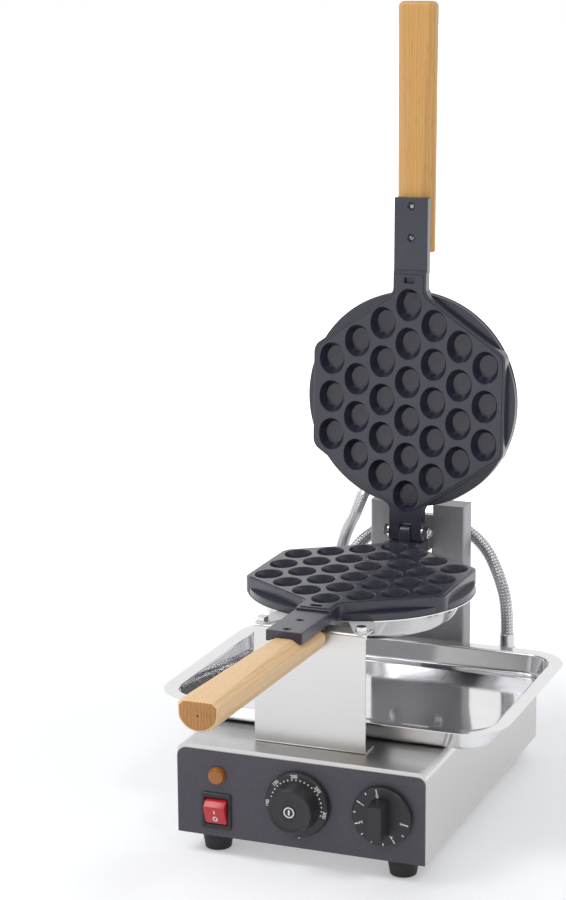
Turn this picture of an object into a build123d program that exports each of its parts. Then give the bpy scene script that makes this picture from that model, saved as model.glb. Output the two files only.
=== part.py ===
from build123d import *
import os
from math import atan2, cos, degrees, pi, radians, sin, sqrt, tan

os.makedirs("parts", exist_ok=True)

# Electric egg waffle pan, millimetres. +Z up, -Y to the front (the handle side), origin on the table
# under the middle of the part's length. Each pan half is drawn in its own pan frame: cooking face on
# Z = 0 looking up, handle towards -Y, hinge towards +Y. The upper half is then turned over and stood
# open on its hinge.

# ---- Clearances ----
running_clearance = 0.05      # radial, a shaft or bolt in its bearing
moving_gap = 0.3              # between faces of pieces that move past each other
fit_clearance = 0.1           # radial, a screw or stem in its hole
cut_over = 1.0                # how far a cutting tool stands proud of the face it cuts

# ---- Cavity lattice ----
cavity_pitch = 34.0           # along the handle
column_pitch = 23.5           # across the handle
side_columns = 3              # columns on each side of the middle one
middle_count = 6              # cavities in the middle column
cavity_length = 28.0
cavity_width = 23.0
cavity_depth = 10.5
shoulder_depth = 7.5          # where the steep wall turns into the rounded foot of the cavity
shoulder_inset = 2.0
foot_depth = 9.6
foot_inset_of_cavity = 3.0
floor_inset = 4.4

# ---- Cast plate ----
rim_wall = 6.0                # metal outside the outermost cavities
side_flat = 90.0              # length of the two straight sides
corner_radius = 12.0
plate_thickness = 14.5
skirt_radius = 95.5           # round foot of the casting
skirt_height = 5.5
rebate_width = 1.6            # sealing step round the cooking face
rebate_depth = 0.8
rebate_end_inset = 8.0        # the step stops this far from the end of the neck

# ---- Neck and tang that carry the grip ----
neck_width = 30.0
neck_depth = 11.5
neck_reach = 115.0            # from the pan's middle to the end of the neck
neck_flare = 9.0
latch_slot_length = 9.6
latch_slot_width = 4.8
latch_slot_depth = 4.0
latch_slot_inset = 8.5        # from the end of the neck
tang_width = 30.5
tang_length = 63.0
tang_thickness = 6.0
tang_lip = 9.0                # depth of the side lips that hold the grip
tang_lip_wall = 2.0
tang_flat = 11.0
tang_step = 2.4
tang_tilt = 1.2               # degrees, the grip rises towards the cooking face
tang_root_overlap = 3.0       # how far the channel runs back into the neck

# ---- Wooden grip ----
grip_length = 214.5
grip_start = 15.0             # from the end of the neck
grip_width = 33.0
grip_height = 25.0
grip_side = 13.0              # height at which the straight sides turn into the round back
grip_end_flat = 25.0          # flat on the face side, at the outer end
grip_end_bevel = 4.0
grip_root_bevel = 8.5
grip_edge_round = 3.0
grip_screw_first = 28.0       # from the end of the neck
grip_screw_pitch = 27.5
grip_screw_length = 22.0
grip_screw_radius = 2.0
grip_screw_head_radius = 4.0
grip_screw_sink = 0.3         # head below the tang's face
grip_eye_radius = 0.8         # small hole in the end grain
grip_eye_depth = 6.0
grip_eye_drop = 18.0          # below the flat of the face side

# ---- Hinge ----
hinge_reach = 117.8           # from the pan's middle to the hinge axis
hinge_rise = 5.5              # hinge axis above the lower cooking face
open_angle = 92.3             # degrees between the faces with the upper half stood open
closed_gap = 0.3              # between the cooking faces when shut
ear_radius = 8.4
ear_heel = 5.0                # height of the flat heel that stops the upper half
knuckle_width = 10.0
knuckle_radius = 6.5
knuckle_side_gap = 0.5
knuckle_slot_gap = 1.8        # in front of the knuckle
knuckle_foot = 1.0            # the knuckle spreads this much towards its foot
hinge_bolt_radius = 3.0
hinge_bolt_head = 4.0
hinge_washer_radius = 6.0
hinge_washer_thickness = 1.2
hinge_nut_height = 5.0
hinge_bolt_tail = 2.5
hinge_bolt_point = 0.8        # chamfer at the thread's end
hex_across_flats = 10.0       # M6 head and nut
stop_gap = 0.3
hinge_neck_reach = 134.0      # end of the lower half's rear neck

# ---- Reflector, a spun cover under each plate ----
reflector_radius = 96.3
reflector_sheet = 0.8
reflector_flange = 8.3
reflector_depth = 23.2
reflector_foot_radius = 77.0
reflector_foot_bend = 14.0
lug_spread = 42.0             # bolts of the lower reflector, across the pan
lug_reach = 117.5
lug_radius = 6.0
lug_root_half = 10.8          # half width of the lug at the flange
lug_lap = 3.0                 # how far the lug runs in under the skirt

# ---- Heater between plate and reflector ----
element_radius = 3.25
element_ring_radius = 60.0
element_pin_radius = 2.0
element_pin_length = 5.0
element_gap_angle = 34.0      # degrees left open at the terminals
clamp_plate_radius = 68.0
clamp_plate_thickness = 1.5
clamp_stud_radius = 3.0
clamp_stud_depth = 6.0        # into the casting
clamp_stud_tail = 3.0
clamp_hole_ring = 36.0        # lightening holes of the clamp plate
clamp_hole_radius = 9.6
clamp_hole_count = 6
clamp_notch_width = 46.8      # across the element's terminals
clamp_notch_reach = 14.0      # inwards from the plate's edge
sensor_length = 62.0
sensor_offset = 22.0

# ---- Braided hoses and their fittings ----
hose_diameter = 11.5
fitting_angle = 29.0          # degrees from the rear, towards the left
fitting_drop = 8.8            # fitting's middle on the reflector's wall, below the flange
fitting_hex = 15.0
fitting_hex_height = 8.0
fitting_ferrule_radius = 6.5
fitting_ferrule_length = 13.0
fitting_stem_radius = 5.0
fitting_stem_length = 6.0
fitting_bore = 3.5
fitting_ferrule_edge = 0.6
fitting_nut_height = 3.0
fitting_nut_flats = 14.0
cabinet_fitting_side_inset = 26.3   # from the cabinet's side
cabinet_fitting_inset = 8.5   # from the back of the cabinet

# ---- Cabinet ----
sheet = 1.0
cabinet_width = 212.6
cabinet_height = 76.4
cabinet_fold = 7.0
cabinet_lip = 10.0
panel_setback = 148.3         # front of the control panel to the pan's middle
cabinet_depth = 321.5
panel_thickness = 1.2
panel_reveal = 4.0            # bright strip left above the control panel
panel_side_reveal = 0.3
foot_height = 18.6
foot_top_radius = 12.5
foot_tip_radius = 11.0
foot_side_inset = 25.8        # from the cabinet's side
foot_inset = 22.5             # from the cabinet's front and back
foot_edge_round = 1.5
foot_waist = 8.4              # height below the cabinet where the foot begins to taper
foot_well_depth = 9.3         # counterbore for the screw's head, below the cabinet
foot_well_radius = 5.0
foot_floor = 2.0
foot_screw_radius = 2.5
foot_screw_length = 12.0
foot_screw_head = 4.6
foot_screw_head_height = 2.8
rear_screw_spread = 40.0      # screws of the rear panel, to each side of the middle
rear_screw_length = 6.0
rear_screw_head = 3.6
rear_screw_head_height = 2.4
vent_length = 40.0
rear_vent_length = 32.0
vent_width = 3.0
vent_pitch = 9.0
vent_column_pitch = 64.0
vent_count = 7

# ---- Stand of the pan ----
pan_height = 210.0            # lower cooking face above the table
bracket_sheet = 1.5
bracket_width = 95.2
bracket_setback = 123.5       # front of the bracket to the pan's middle
bracket_foot = 20.0
bend_radius = 2.0
column_width = 88.4
column_setback = 147.3        # pan's middle to the front of the rear column
column_depth = 21.5
column_top = 24.4             # above the lower cooking face
column_slot = 30.0
column_slot_depth = 46.4
support_sheet = 2.0
support_width = 56.0
support_top = 14.0            # above the lower cooking face
support_drop = 60.0           # below the lower cooking face
support_tab_width = 27.0
support_screw_spread = 22.0
stand_screw_radius = 2.0
stand_screw_spread = 30.0
pan_bolt_radius = 2.5
pan_bolt_hex = 8.0
pan_bolt_head = 3.5
pan_washer_radius = 5.0
pan_washer_thickness = 1.0
neck_screw_spread = 16.0
neck_screw_inset = 8.0        # from the end of the rear neck
neck_thread_depth = 8.0
small_screw_head = 3.8        # pan head of the stand's screws
small_screw_head_height = 2.6
stand_screw_length = 8.0
support_screw_length = 6.0
neck_screw_length = 9.0
support_upper_screw_drop = 30.0   # below the lower cooking face
support_lower_screw_inset = 10.0  # above the support's lower edge
support_tab_lap = 20.0        # length of the tab under the rear neck
support_tab_corner = 3.0
bracket_flange_over = 6.0     # flange behind the bolt lugs
bracket_screw_inset = 12.0    # from the front of the bracket
column_screw_inset = 11.8     # from the front of the column
pan_bolt_tail = 7.0           # below the bracket's flange
pan_nut_height = 4.0

# ---- Drip tray ----
tray_length = 302.0           # across the cabinet
tray_width = 232.0
tray_depth = 20.0
tray_sheet = 0.8
tray_rim = 12.0
tray_corner = 38.0
tray_draft = 4.0              # how far the wall leans in over its depth
tray_foot_bend = 6.0
tray_shift = 12.0             # middle of the tray behind the pan's middle

# ---- Controls, across and up from the middle of the panel's lower edge ----
control_line = 56.8           # height of both dials above the table
dial_gap = 1.0                # dial clear of the panel
dial_skirt_thickness = 5.0
dial_reach = 22.0             # front of a knob from the panel
temperature_dial_radius = 27.0
temperature_skirt_rim = 3.0   # straight edge of the skirt
temperature_skirt_bevel = 1.2
temperature_grip_root = 20.0
temperature_grip_tip = 18.5
temperature_grip_round = 1.0  # broken edge at the front of the grip
temperature_face_ring = 3.0   # widths of the raised rims on the knob's face
temperature_face_dish = 0.8
temperature_cap_radius = 5.5
temperature_cap_depth = 1.2
temperature_cap_sink = 0.3
timer_side_inset = 34.8       # from the cabinet's side
timer_dial_radius = 24.5
timer_boss_radius = 16.0      # foot of the grip, on the skirt
timer_boss_tip = 13.0         # radius of the grip at its front
timer_bar_width = 13.5        # bar left at the front by the two slanted side faces
timer_skirt_bevel = 1.0
spindle_radius = 3.0
spindle_boss_radius = 5.0
spindle_depth = 12.0          # into the knob
spindle_bearing = 8.0         # into the control's case
thermostat_length = 40.0
thermostat_width = 34.0
thermostat_corner = 3.0
thermostat_depth = 24.0
timer_case_radius = 22.0
timer_case_depth = 30.0
control_screw_spread = 28.0
control_screw_radius = 2.0
control_screw_head = 3.2
control_screw_length = 6.0
control_thread_depth = 8.0

switch_side_inset = 35.0      # from the cabinet's side
switch_line = 40.7
bezel_width = 25.4
bezel_height = 30.4
bezel_thickness = 2.0
bezel_corner = 1.5
bezel_bevel = 0.6
switch_body_width = 22.0
switch_body_height = 27.0
switch_body_depth = 24.0
blade_width = 6.3             # push-on terminals
blade_thickness = 0.8
blade_length = 8.0
rocker_width = 19.6
rocker_height = 22.0
rocker_tilt = 11.0            # degrees each side of level
rocker_pivot_depth = 4.0
rocker_nose = 3.5             # middle of the rocker's face in front of its pins
rocker_edge = 5.5             # upper and lower edge in front of the pins
rocker_heel = 3.0             # back of the rocker behind its pins
rocker_pin_radius = 1.5
rocker_pin_length = 1.0
rocker_well = 11.0

lamp_side_inset = 35.8        # from the cabinet's side
lamp_line = 71.1
lamp_lens_radius = 7.4
lamp_lens_reach = 5.0
lamp_lens_rim = 2.5           # straight edge of the lens
lamp_stem_radius = 5.0
lamp_stem_length = 18.0
lamp_nut_radius = 8.0
lamp_nut_height = 4.0

# ---- Supply inlet ----
gland_radius = 9.0
gland_collar = 4.5            # straight part of the gland outside the cabinet
gland_nose_radius = 6.5
gland_stem_radius = 6.3
gland_reach = 10.0
gland_tail = 8.0              # inside the cabinet
gland_bore = 4.5
gland_side_inset = 46.3       # from the cabinet's side
gland_line = 42.0
terminal_length = 46.0
terminal_width = 20.0
terminal_height = 18.0
terminal_setback = 60.0       # from the back of the cabinet
terminal_well = 9.0
terminal_well_radius = 2.0
terminal_pitch = 11.5
terminal_row_pitch = 10.0
rear_vent_side_inset = 76.3   # middle of the rear slots from the cabinet's side

# ---- Places that follow from the sizes above ----
grip_lean = (tang_thickness + grip_height - grip_edge_round / 2) * sin(radians(tang_tilt))
grip_reach = neck_reach + (grip_start + grip_length) * cos(radians(tang_tilt)) + grip_lean
rear_reach = cabinet_depth + panel_thickness - panel_setback + gland_reach
pan_y = (grip_reach - rear_reach) / 2
panel_y = pan_y - panel_setback
cabinet_front = panel_y + panel_thickness
cabinet_back = cabinet_front + cabinet_depth
cabinet_top = foot_height + cabinet_height
cabinet_side = cabinet_width / 2
timer_across = cabinet_side - timer_side_inset
switch_across = switch_side_inset - cabinet_side
lamp_across = lamp_side_inset - cabinet_side
gland_across = gland_side_inset - cabinet_side
rear_vent_across = cabinet_side - rear_vent_side_inset
column_front = pan_y + column_setback
bracket_front = pan_y - bracket_setback
reflector_top = pan_height - plate_thickness
reflector_foot = -plate_thickness - reflector_depth

# A pan frame stands in the part by one of these places.
lower_place = Location((0, pan_y, pan_height))
hinge_place = Location((0, pan_y + hinge_reach, pan_height + hinge_rise))
upper_closed = Location((0, -hinge_reach, closed_gap - hinge_rise)) * Location((0, 0, 0), (0, 180, 0))
upper_place = hinge_place * Location((0, 0, 0), (-open_angle, 0, 0)) * upper_closed
upper_axis_z = closed_gap - hinge_rise      # hinge axis in the upper half's own pan frame


def write(piece, name):
    piece.part.label = name
    export_step(piece.part, f"parts/{name}.step")


def write_placed(source, place, name):
    with BuildPart() as placed:
        with Locations(place):
            add(source.part)
    write(placed, name)


def screw(radius, length, head_radius, head_height):
    """Pan head screw on Z = 0: shank down, head up."""
    with BuildPart() as made:
        with BuildSketch(Plane.XZ):
            with BuildLine():
                Polyline(
                    (0, head_height), (0, -length), (radius, -length), (radius, 0), (head_radius, 0),
                    (head_radius, head_height * 0.4),
                )
                TangentArc((0, head_height), (head_radius, head_height * 0.4), tangent=(1, 0))
            make_face()
        revolve(axis=Axis.Z)
    return made


def hex_nut(bore, across_flats, height):
    """Nut standing on Z = 0."""
    with BuildPart() as made:
        with BuildSketch():
            RegularPolygon(across_flats / 2, 6, major_radius=False)
            Circle(bore, mode=Mode.SUBTRACT)
        extrude(amount=height)
    return made


def washer(bore, radius, thickness):
    with BuildPart() as made:
        with BuildSketch():
            Circle(radius)
            Circle(bore, mode=Mode.SUBTRACT)
        extrude(amount=thickness)
    return made


def group(source, places):
    """One node of identical solids."""
    with BuildPart() as made:
        with Locations(*places):
            add(source.part)
    return made


# ---- Cast plates ----
half_width = side_columns * column_pitch + cavity_width / 2 + rim_wall
half_length = (middle_count - 1) / 2 * cavity_pitch + cavity_length / 2 + rim_wall
cavity_centres = [
    (column * column_pitch, (row - (middle_count - abs(column) - 1) / 2) * cavity_pitch)
    for column in range(-side_columns, side_columns + 1)
    for row in range(middle_count - abs(column))
]

with BuildPart() as cavity_tool:
    for depth, inset in (
        (0, 0),
        (shoulder_depth, shoulder_inset),
        (foot_depth, foot_inset_of_cavity),
        (cavity_depth, floor_inset),
    ):
        with BuildSketch(Plane.XY.offset(-depth)):
            Ellipse(cavity_width / 2 - inset, cavity_length / 2 - inset)
    loft(ruled=True)


def plate_outline(inset, front, rear):
    """Hexagon with the front neck, and the rear neck as long as asked."""
    width, length = half_width - inset, half_length - inset
    flat = side_flat / 2 - inset * 0.6
    with BuildSketch() as outline:
        Polygon(
            (width, flat), (0, length), (-width, flat), (-width, -flat), (0, -length), (width, -flat),
            align=None,
        )
        fillet([v for v in outline.vertices() if abs(v.X) > 1], corner_radius - inset)
        for reach in (-front, rear):
            with Locations((0, reach / 2)):
                Rectangle(neck_width, abs(reach))
        joins = [v for v in outline.vertices() if abs(abs(v.X) - neck_width / 2) < 0.01 and abs(v.Y) < length]
        fillet(joins, neck_flare)
    return outline


tang_axis = (0, -cos(radians(tang_tilt)), sin(radians(tang_tilt)))
tang_root = (0, -neck_reach, -tang_step)
tang_end_plane = Plane(origin=tang_root, x_dir=(1, 0, 0), z_dir=tang_axis)
tang_top_plane = Plane(origin=tang_root, x_dir=(1, 0, 0), z_dir=tang_end_plane.y_dir)
grip_screw_places = [
    tang_top_plane.location * Location((0, -grip_screw_first - number * grip_screw_pitch, 0))
    for number in range(2)
]


def casting(rear_reach_of_neck):
    with BuildPart() as cast:
        with BuildSketch(Plane.XY.offset(-plate_thickness)):
            Circle(skirt_radius)
        extrude(amount=skirt_height)
        outline = plate_outline(0, neck_reach, rear_reach_of_neck)
        with BuildSketch(Plane.XY.offset(-plate_thickness)):
            add(outline.sketch)
        extrude(amount=plate_thickness)
        # the neck is thinner than the plate
        with BuildSketch(Plane.XY.offset(-plate_thickness)):
            with Locations((0, -neck_reach)):
                Rectangle(neck_width * 2, 2 * (neck_reach - skirt_radius), align=(Align.CENTER, Align.CENTER))
        extrude(amount=plate_thickness - neck_depth, mode=Mode.SUBTRACT)
        # sealing step round the cooking face
        with BuildSketch():
            Rectangle(2 * (half_width + cut_over), 2 * (half_length - rim_wall))
            rebate_front = neck_reach - rebate_end_inset
            add(plate_outline(rebate_width, rebate_front, hinge_reach).sketch, mode=Mode.SUBTRACT)
            with Locations((0, -half_length), (0, half_length)):
                Rectangle(neck_width, 3 * neck_flare, mode=Mode.SUBTRACT)
        extrude(amount=-rebate_depth, mode=Mode.SUBTRACT)
        with Locations(*cavity_centres):
            add(cavity_tool.part, mode=Mode.SUBTRACT)
        # latch slot in the neck
        with BuildSketch():
            with Locations((0, -neck_reach + latch_slot_inset)):
                Rectangle(latch_slot_length, latch_slot_width)
        extrude(amount=-latch_slot_depth, mode=Mode.SUBTRACT)
        # tang: a channel whose side lips hold the grip
        with BuildSketch(tang_end_plane.offset(-tang_root_overlap)):
            half = tang_width / 2
            with BuildLine():
                Polyline(
                    (-half, 0), (half, 0), (half, -tang_lip), (half - tang_lip_wall, -tang_lip),
                    (tang_flat / 2, -tang_thickness), (-tang_flat / 2, -tang_thickness),
                    (-half + tang_lip_wall, -tang_lip), (-half, -tang_lip), close=True,
                )
            make_face()
        extrude(amount=tang_length + tang_root_overlap)
        with Locations(*grip_screw_places):
            CounterSinkHole(
                grip_screw_radius + fit_clearance,
                grip_screw_head_radius + grip_screw_sink + fit_clearance,
                depth=tang_lip + cut_over,
                counter_sink_angle=90,
            )
        # threaded pocket for the clamp stud
        with Locations(Location((0, 0, -plate_thickness), (180, 0, 0))):
            Hole(clamp_stud_radius, depth=clamp_stud_depth)
    return cast


side_view = Plane.YZ

with BuildPart() as lower_casting:
    add(casting(hinge_neck_reach).part)
    # the rear neck lies low enough for the ears to turn over it
    low = ear_radius + stop_gap - hinge_rise
    with BuildSketch(side_view):
        with Locations((hinge_reach - ear_radius - cut_over, -low)):
            Rectangle(hinge_neck_reach, low + cut_over, align=(Align.MIN, Align.MIN))
    extrude(amount=neck_width, both=True, mode=Mode.SUBTRACT)
    with BuildSketch(side_view):
        with Locations((hinge_reach, hinge_rise)):
            Circle(knuckle_radius)
        with BuildLine():
            foot = knuckle_radius + knuckle_foot
            Polyline(
                (hinge_reach - foot, -low - knuckle_foot), (hinge_reach + foot, -low - knuckle_foot),
                (hinge_reach + knuckle_radius, hinge_rise), (hinge_reach - knuckle_radius, hinge_rise),
                close=True,
            )
        make_face()
        with Locations((hinge_reach, hinge_rise)):
            Circle(hinge_bolt_radius + running_clearance, mode=Mode.SUBTRACT)
    extrude(amount=knuckle_width / 2, both=True)
    # threads for the two screws through the support's tab
    with Locations(*[
        Location((side * neck_screw_spread / 2, hinge_neck_reach - neck_screw_inset, -plate_thickness), (180, 0, 0))
        for side in (-1, 1)
    ]):
        Hole(stand_screw_radius, depth=neck_thread_depth)
write_placed(lower_casting, lower_place, "lower_plate")

with BuildPart() as upper_casting:
    add(casting(hinge_reach).part)
    with BuildSketch(side_view):
        with Locations((hinge_reach, upper_axis_z)):
            Circle(ear_radius)
        with Locations((hinge_reach, upper_axis_z)):
            Rectangle(ear_radius, ear_heel, align=(Align.MIN, Align.MAX))
        # the ears stay level with the cooking face
        with Locations((hinge_reach, 0)):
            Rectangle(2 * ear_radius, ear_radius, align=(Align.CENTER, Align.MIN), mode=Mode.SUBTRACT)
    extrude(amount=neck_width / 2, both=True)
    # bolt hole, and the slot that the lower knuckle stands in
    with BuildSketch(side_view):
        with Locations((hinge_reach, upper_axis_z)):
            Circle(hinge_bolt_radius + running_clearance)
    extrude(amount=neck_width, both=True, mode=Mode.SUBTRACT)
    with BuildSketch(side_view):
        with Locations((hinge_reach - knuckle_radius - knuckle_slot_gap, 0)):
            Rectangle(4 * ear_radius, 6 * ear_radius, align=(Align.MIN, Align.CENTER))
    extrude(amount=knuckle_width / 2 + knuckle_side_gap, both=True, mode=Mode.SUBTRACT)
write_placed(upper_casting, upper_place, "upper_plate")

# ---- Wooden grips ----


def grip_section(along, flat, bevel, inset=0):
    """Grip section at a distance along the tang's axis: flat on the face side, round at the back."""
    with BuildSketch(tang_end_plane.offset(along)) as section:
        half = grip_width / 2 - inset
        top = -tang_thickness - inset
        side = -tang_thickness - grip_side
        shoulder = -tang_thickness - bevel
        with BuildLine():
            Polyline(
                (-half, side), (-half, shoulder), (-flat / 2, top),
                (flat / 2, top), (half, shoulder), (half, side),
            )
            ThreePointArc((half, side), (0, -tang_thickness - grip_height + inset), (-half, side))
        make_face()
    return section


with BuildPart() as grip_form:
    grip_end = grip_start + grip_length
    root = grip_section(grip_start, tang_flat, grip_root_bevel)
    shoulder = grip_section(grip_end - grip_edge_round, grip_end_flat, grip_end_bevel)
    tip = grip_section(grip_end, grip_end_flat, grip_end_bevel, inset=grip_edge_round * 0.5)
    loft(sections=[root.sketch, shoulder.sketch, tip.sketch], ruled=True)
    # the channel's lips are let into the wood
    with BuildSketch(tang_end_plane.offset(grip_start)):
        half = tang_width / 2 + fit_clearance
        outside = grip_width / 2 + cut_over
        with BuildLine():
            Polyline(
                (-outside, cut_over), (outside, cut_over), (outside, -tang_lip - fit_clearance),
                (half - tang_lip_wall - fit_clearance, -tang_lip - fit_clearance),
                (tang_flat / 2, -tang_thickness), (-tang_flat / 2, -tang_thickness),
                (-half + tang_lip_wall + fit_clearance, -tang_lip - fit_clearance),
                (-outside, -tang_lip - fit_clearance), close=True,
            )
        make_face()
    extrude(amount=tang_length - grip_start + fit_clearance, mode=Mode.SUBTRACT)
    with Locations(*[place * Location((0, 0, -tang_thickness)) for place in grip_screw_places]):
        Hole(grip_screw_radius, depth=grip_screw_length + grip_screw_sink - tang_thickness)
    grip_end_place = tang_end_plane.offset(grip_start + grip_length).location
    with Locations(grip_end_place * Location((0, -grip_eye_drop, 0))):
        Hole(grip_eye_radius, depth=grip_eye_depth)

with BuildPart() as grip_screw:
    with BuildSketch(Plane.XZ):
        with BuildLine():
            Polyline(
                (0, -grip_screw_length), (grip_screw_radius, -grip_screw_length),
                (grip_screw_radius, grip_screw_radius - grip_screw_head_radius),
                (grip_screw_head_radius, 0), (0, 0), close=True,
            )
        make_face()
    revolve(axis=Axis.Z)
sunk_places = [place * Location((0, 0, -grip_screw_sink)) for place in grip_screw_places]
grip_screws = group(grip_screw, sunk_places)

for half_name, place in (("lower", lower_place), ("upper", upper_place)):
    write_placed(grip_form, place, f"{half_name}_handle")
    write_placed(grip_screws, place, f"{half_name}_handle_screws")

# ---- Reflectors with their heaters ----
wall_top_radius = reflector_radius - reflector_flange
wall_lean = atan2(wall_top_radius - reflector_foot_radius, reflector_depth - reflector_sheet)
fitting_wall_radius = wall_top_radius - (fitting_drop - reflector_sheet) * tan(wall_lean)
nut_reach = fitting_nut_flats / sqrt(3)
wall_miter = reflector_sheet * (1 - sin(wall_lean)) / cos(wall_lean)
wall_saddle = nut_reach ** 2 / (2 * fitting_wall_radius)    # how far the curved wall falls behind a flat nut


def fitting_place(side):
    """Outside of the reflector's wall, Z along the fitting. side is -1 to the left and 1 to the right."""
    turn = radians(fitting_angle)
    outward = Vector(side * sin(turn), cos(turn), 0)
    middle = outward * fitting_wall_radius - Vector(0, 0, plate_thickness + fitting_drop)
    square_to_wall = outward * cos(wall_lean) - Vector(0, 0, sin(wall_lean))
    return Plane(origin=middle, x_dir=outward.cross(Vector(0, 0, 1)), z_dir=square_to_wall)


def reflector(side, lugs):
    flange_foot = -plate_thickness - reflector_sheet
    with BuildPart() as made:
        with BuildSketch(Plane.XZ) as profile:
            with BuildLine():
                Polyline(
                    (reflector_radius, -plate_thickness), (reflector_radius, flange_foot),
                    (wall_top_radius, flange_foot), (reflector_foot_radius, reflector_foot),
                    (0, reflector_foot), (0, reflector_foot + reflector_sheet),
                    (reflector_foot_radius - wall_miter, reflector_foot + reflector_sheet),
                    (wall_top_radius - wall_miter, -plate_thickness), close=True,
                )
            make_face()
            feet = profile.vertices().group_by(Axis.Y)
            fillet(feet[0].sort_by(Axis.X)[-1], reflector_foot_bend)
            inner_foot = profile.vertices().filter_by_position(
                Axis.Y, reflector_foot + reflector_sheet / 2, reflector_foot + reflector_sheet * 1.5
            )
            fillet(inner_foot.sort_by(Axis.X)[-1], reflector_foot_bend - reflector_sheet)
        revolve(axis=Axis.Z)
        if lugs:
            with BuildSketch(Plane.XY.offset(-plate_thickness - reflector_sheet)):
                for across in (-lug_spread, lug_spread):
                    with BuildLine():
                        spot = Vector(across, -lug_reach)
                        turn = degrees(atan2(-lug_reach, across))
                        sideways = Vector(1, 0).rotate(Axis.Z, turn + 90)
                        root_middle = Vector(skirt_radius - lug_lap, 0).rotate(Axis.Z, turn)
                        Polyline(
                            root_middle - sideways * lug_root_half, spot - sideways * lug_radius,
                            spot + sideways * lug_radius, root_middle + sideways * lug_root_half, close=True,
                        )
                    make_face()
                with Locations((-lug_spread, -lug_reach), (lug_spread, -lug_reach)):
                    Circle(lug_radius)
                    Circle(pan_bolt_radius + fit_clearance, mode=Mode.SUBTRACT)
            extrude(amount=reflector_sheet)
        with Locations(Location((0, 0, reflector_foot), (180, 0, 0))):
            Hole(clamp_stud_radius + fit_clearance, depth=reflector_sheet * 3)
        with Locations(fitting_place(side).location):
            Hole(fitting_stem_radius + fit_clearance, depth=fitting_stem_length)
    return made


def heating_element(side):
    """Open ring with both ends turned in beside the hose fitting."""
    level = -plate_thickness - element_radius
    middle_turn = 90 - side * fitting_angle
    first = middle_turn + element_gap_angle / 2
    ring = element_ring_radius
    with BuildPart() as made:
        with BuildLine() as path:
            CenterArc((0, 0, level), ring, first, 360 - element_gap_angle)
        with BuildSketch(Plane(origin=path.line @ 0, z_dir=path.line % 0)):
            Circle(element_radius)
        sweep()
        for end in (path.line @ 0, path.line @ 1):
            with BuildSketch(Plane(origin=end, z_dir=(0, 0, 1))):
                Circle(element_pin_radius)
            extrude(amount=-element_radius - element_pin_length)
    return made


clamp_level = -plate_thickness - 2 * element_radius
with BuildPart() as clamp_plate:
    with BuildSketch(Plane.XY.offset(clamp_level - clamp_plate_thickness)):
        Circle(clamp_plate_radius)
        Circle(clamp_stud_radius + fit_clearance, mode=Mode.SUBTRACT)
        with PolarLocations(clamp_hole_ring, clamp_hole_count):
            Circle(clamp_hole_radius, mode=Mode.SUBTRACT)
    extrude(amount=clamp_plate_thickness)


def clamp_plate_for(side):
    """The plate is notched where the element's terminals come down."""
    with BuildPart() as made:
        add(clamp_plate.part)
        with BuildSketch(Plane.XY.offset(clamp_level)):
            turn = 90 - side * fitting_angle
            with PolarLocations(clamp_plate_radius, 1, start_angle=turn):
                Rectangle(2 * clamp_notch_reach, clamp_notch_width)
        extrude(amount=-clamp_plate_thickness, mode=Mode.SUBTRACT)
    return made


stud_foot = reflector_foot - fitting_nut_height - clamp_stud_tail
with BuildPart() as clamp_stud:
    with BuildSketch(Plane.XY.offset(stud_foot)):
        Circle(clamp_stud_radius)
    extrude(amount=-plate_thickness + clamp_stud_depth - stud_foot)

stud_nut = hex_nut(clamp_stud_radius, hex_across_flats, fitting_nut_height)
stud_nuts = group(stud_nut, [
    Location((0, 0, clamp_level - clamp_plate_thickness - fitting_nut_height)),
    Location((0, 0, reflector_foot - fitting_nut_height)),
])

with BuildPart() as hose_fitting:
    with BuildSketch(Plane.XY.offset(-fitting_stem_length)):
        Circle(fitting_stem_radius)
        Circle(fitting_bore, mode=Mode.SUBTRACT)
    extrude(amount=fitting_stem_length)
    with BuildSketch():
        RegularPolygon(fitting_hex / 2, 6, major_radius=False)
    extrude(amount=fitting_hex_height)
    with BuildSketch(Plane.XY.offset(fitting_hex_height)):
        Circle(fitting_ferrule_radius)
    extrude(amount=fitting_ferrule_length)
    chamfer(hose_fitting.edges().filter_by(GeomType.CIRCLE).group_by(Axis.Z)[-1], fitting_ferrule_edge)
fitting_nut = hex_nut(fitting_stem_radius, fitting_nut_flats, fitting_nut_height)
behind_sheet = Location((0, 0, -sheet - fitting_nut_height))
behind_wall = Location((0, 0, -reflector_sheet - wall_saddle - fitting_nut_height))

for half_name, place, side, lugs in (("lower", lower_place, -1, True), ("upper", upper_place, 1, False)):
    write_placed(reflector(side, lugs), place, f"{half_name}_reflector")
    write_placed(heating_element(side), place, f"{half_name}_element")
    write_placed(clamp_plate_for(side), place, f"{half_name}_clamp_plate")
    write_placed(clamp_stud, place, f"{half_name}_clamp_stud")
    write_placed(stud_nuts, place, f"{half_name}_stud_nuts")
    at_wall = place * fitting_place(side).location
    write_placed(hose_fitting, at_wall, f"{half_name}_hose_fitting")
    write_placed(fitting_nut, at_wall * behind_wall, f"{half_name}_fitting_nut")

with BuildPart() as sensor_bulb:
    with BuildSketch(Plane.XZ.offset(-sensor_length / 2)):
        with Locations((sensor_offset, -plate_thickness - element_radius)):
            Circle(element_radius)
    extrude(amount=sensor_length)
write_placed(sensor_bulb, lower_place, "sensor_bulb")

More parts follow.
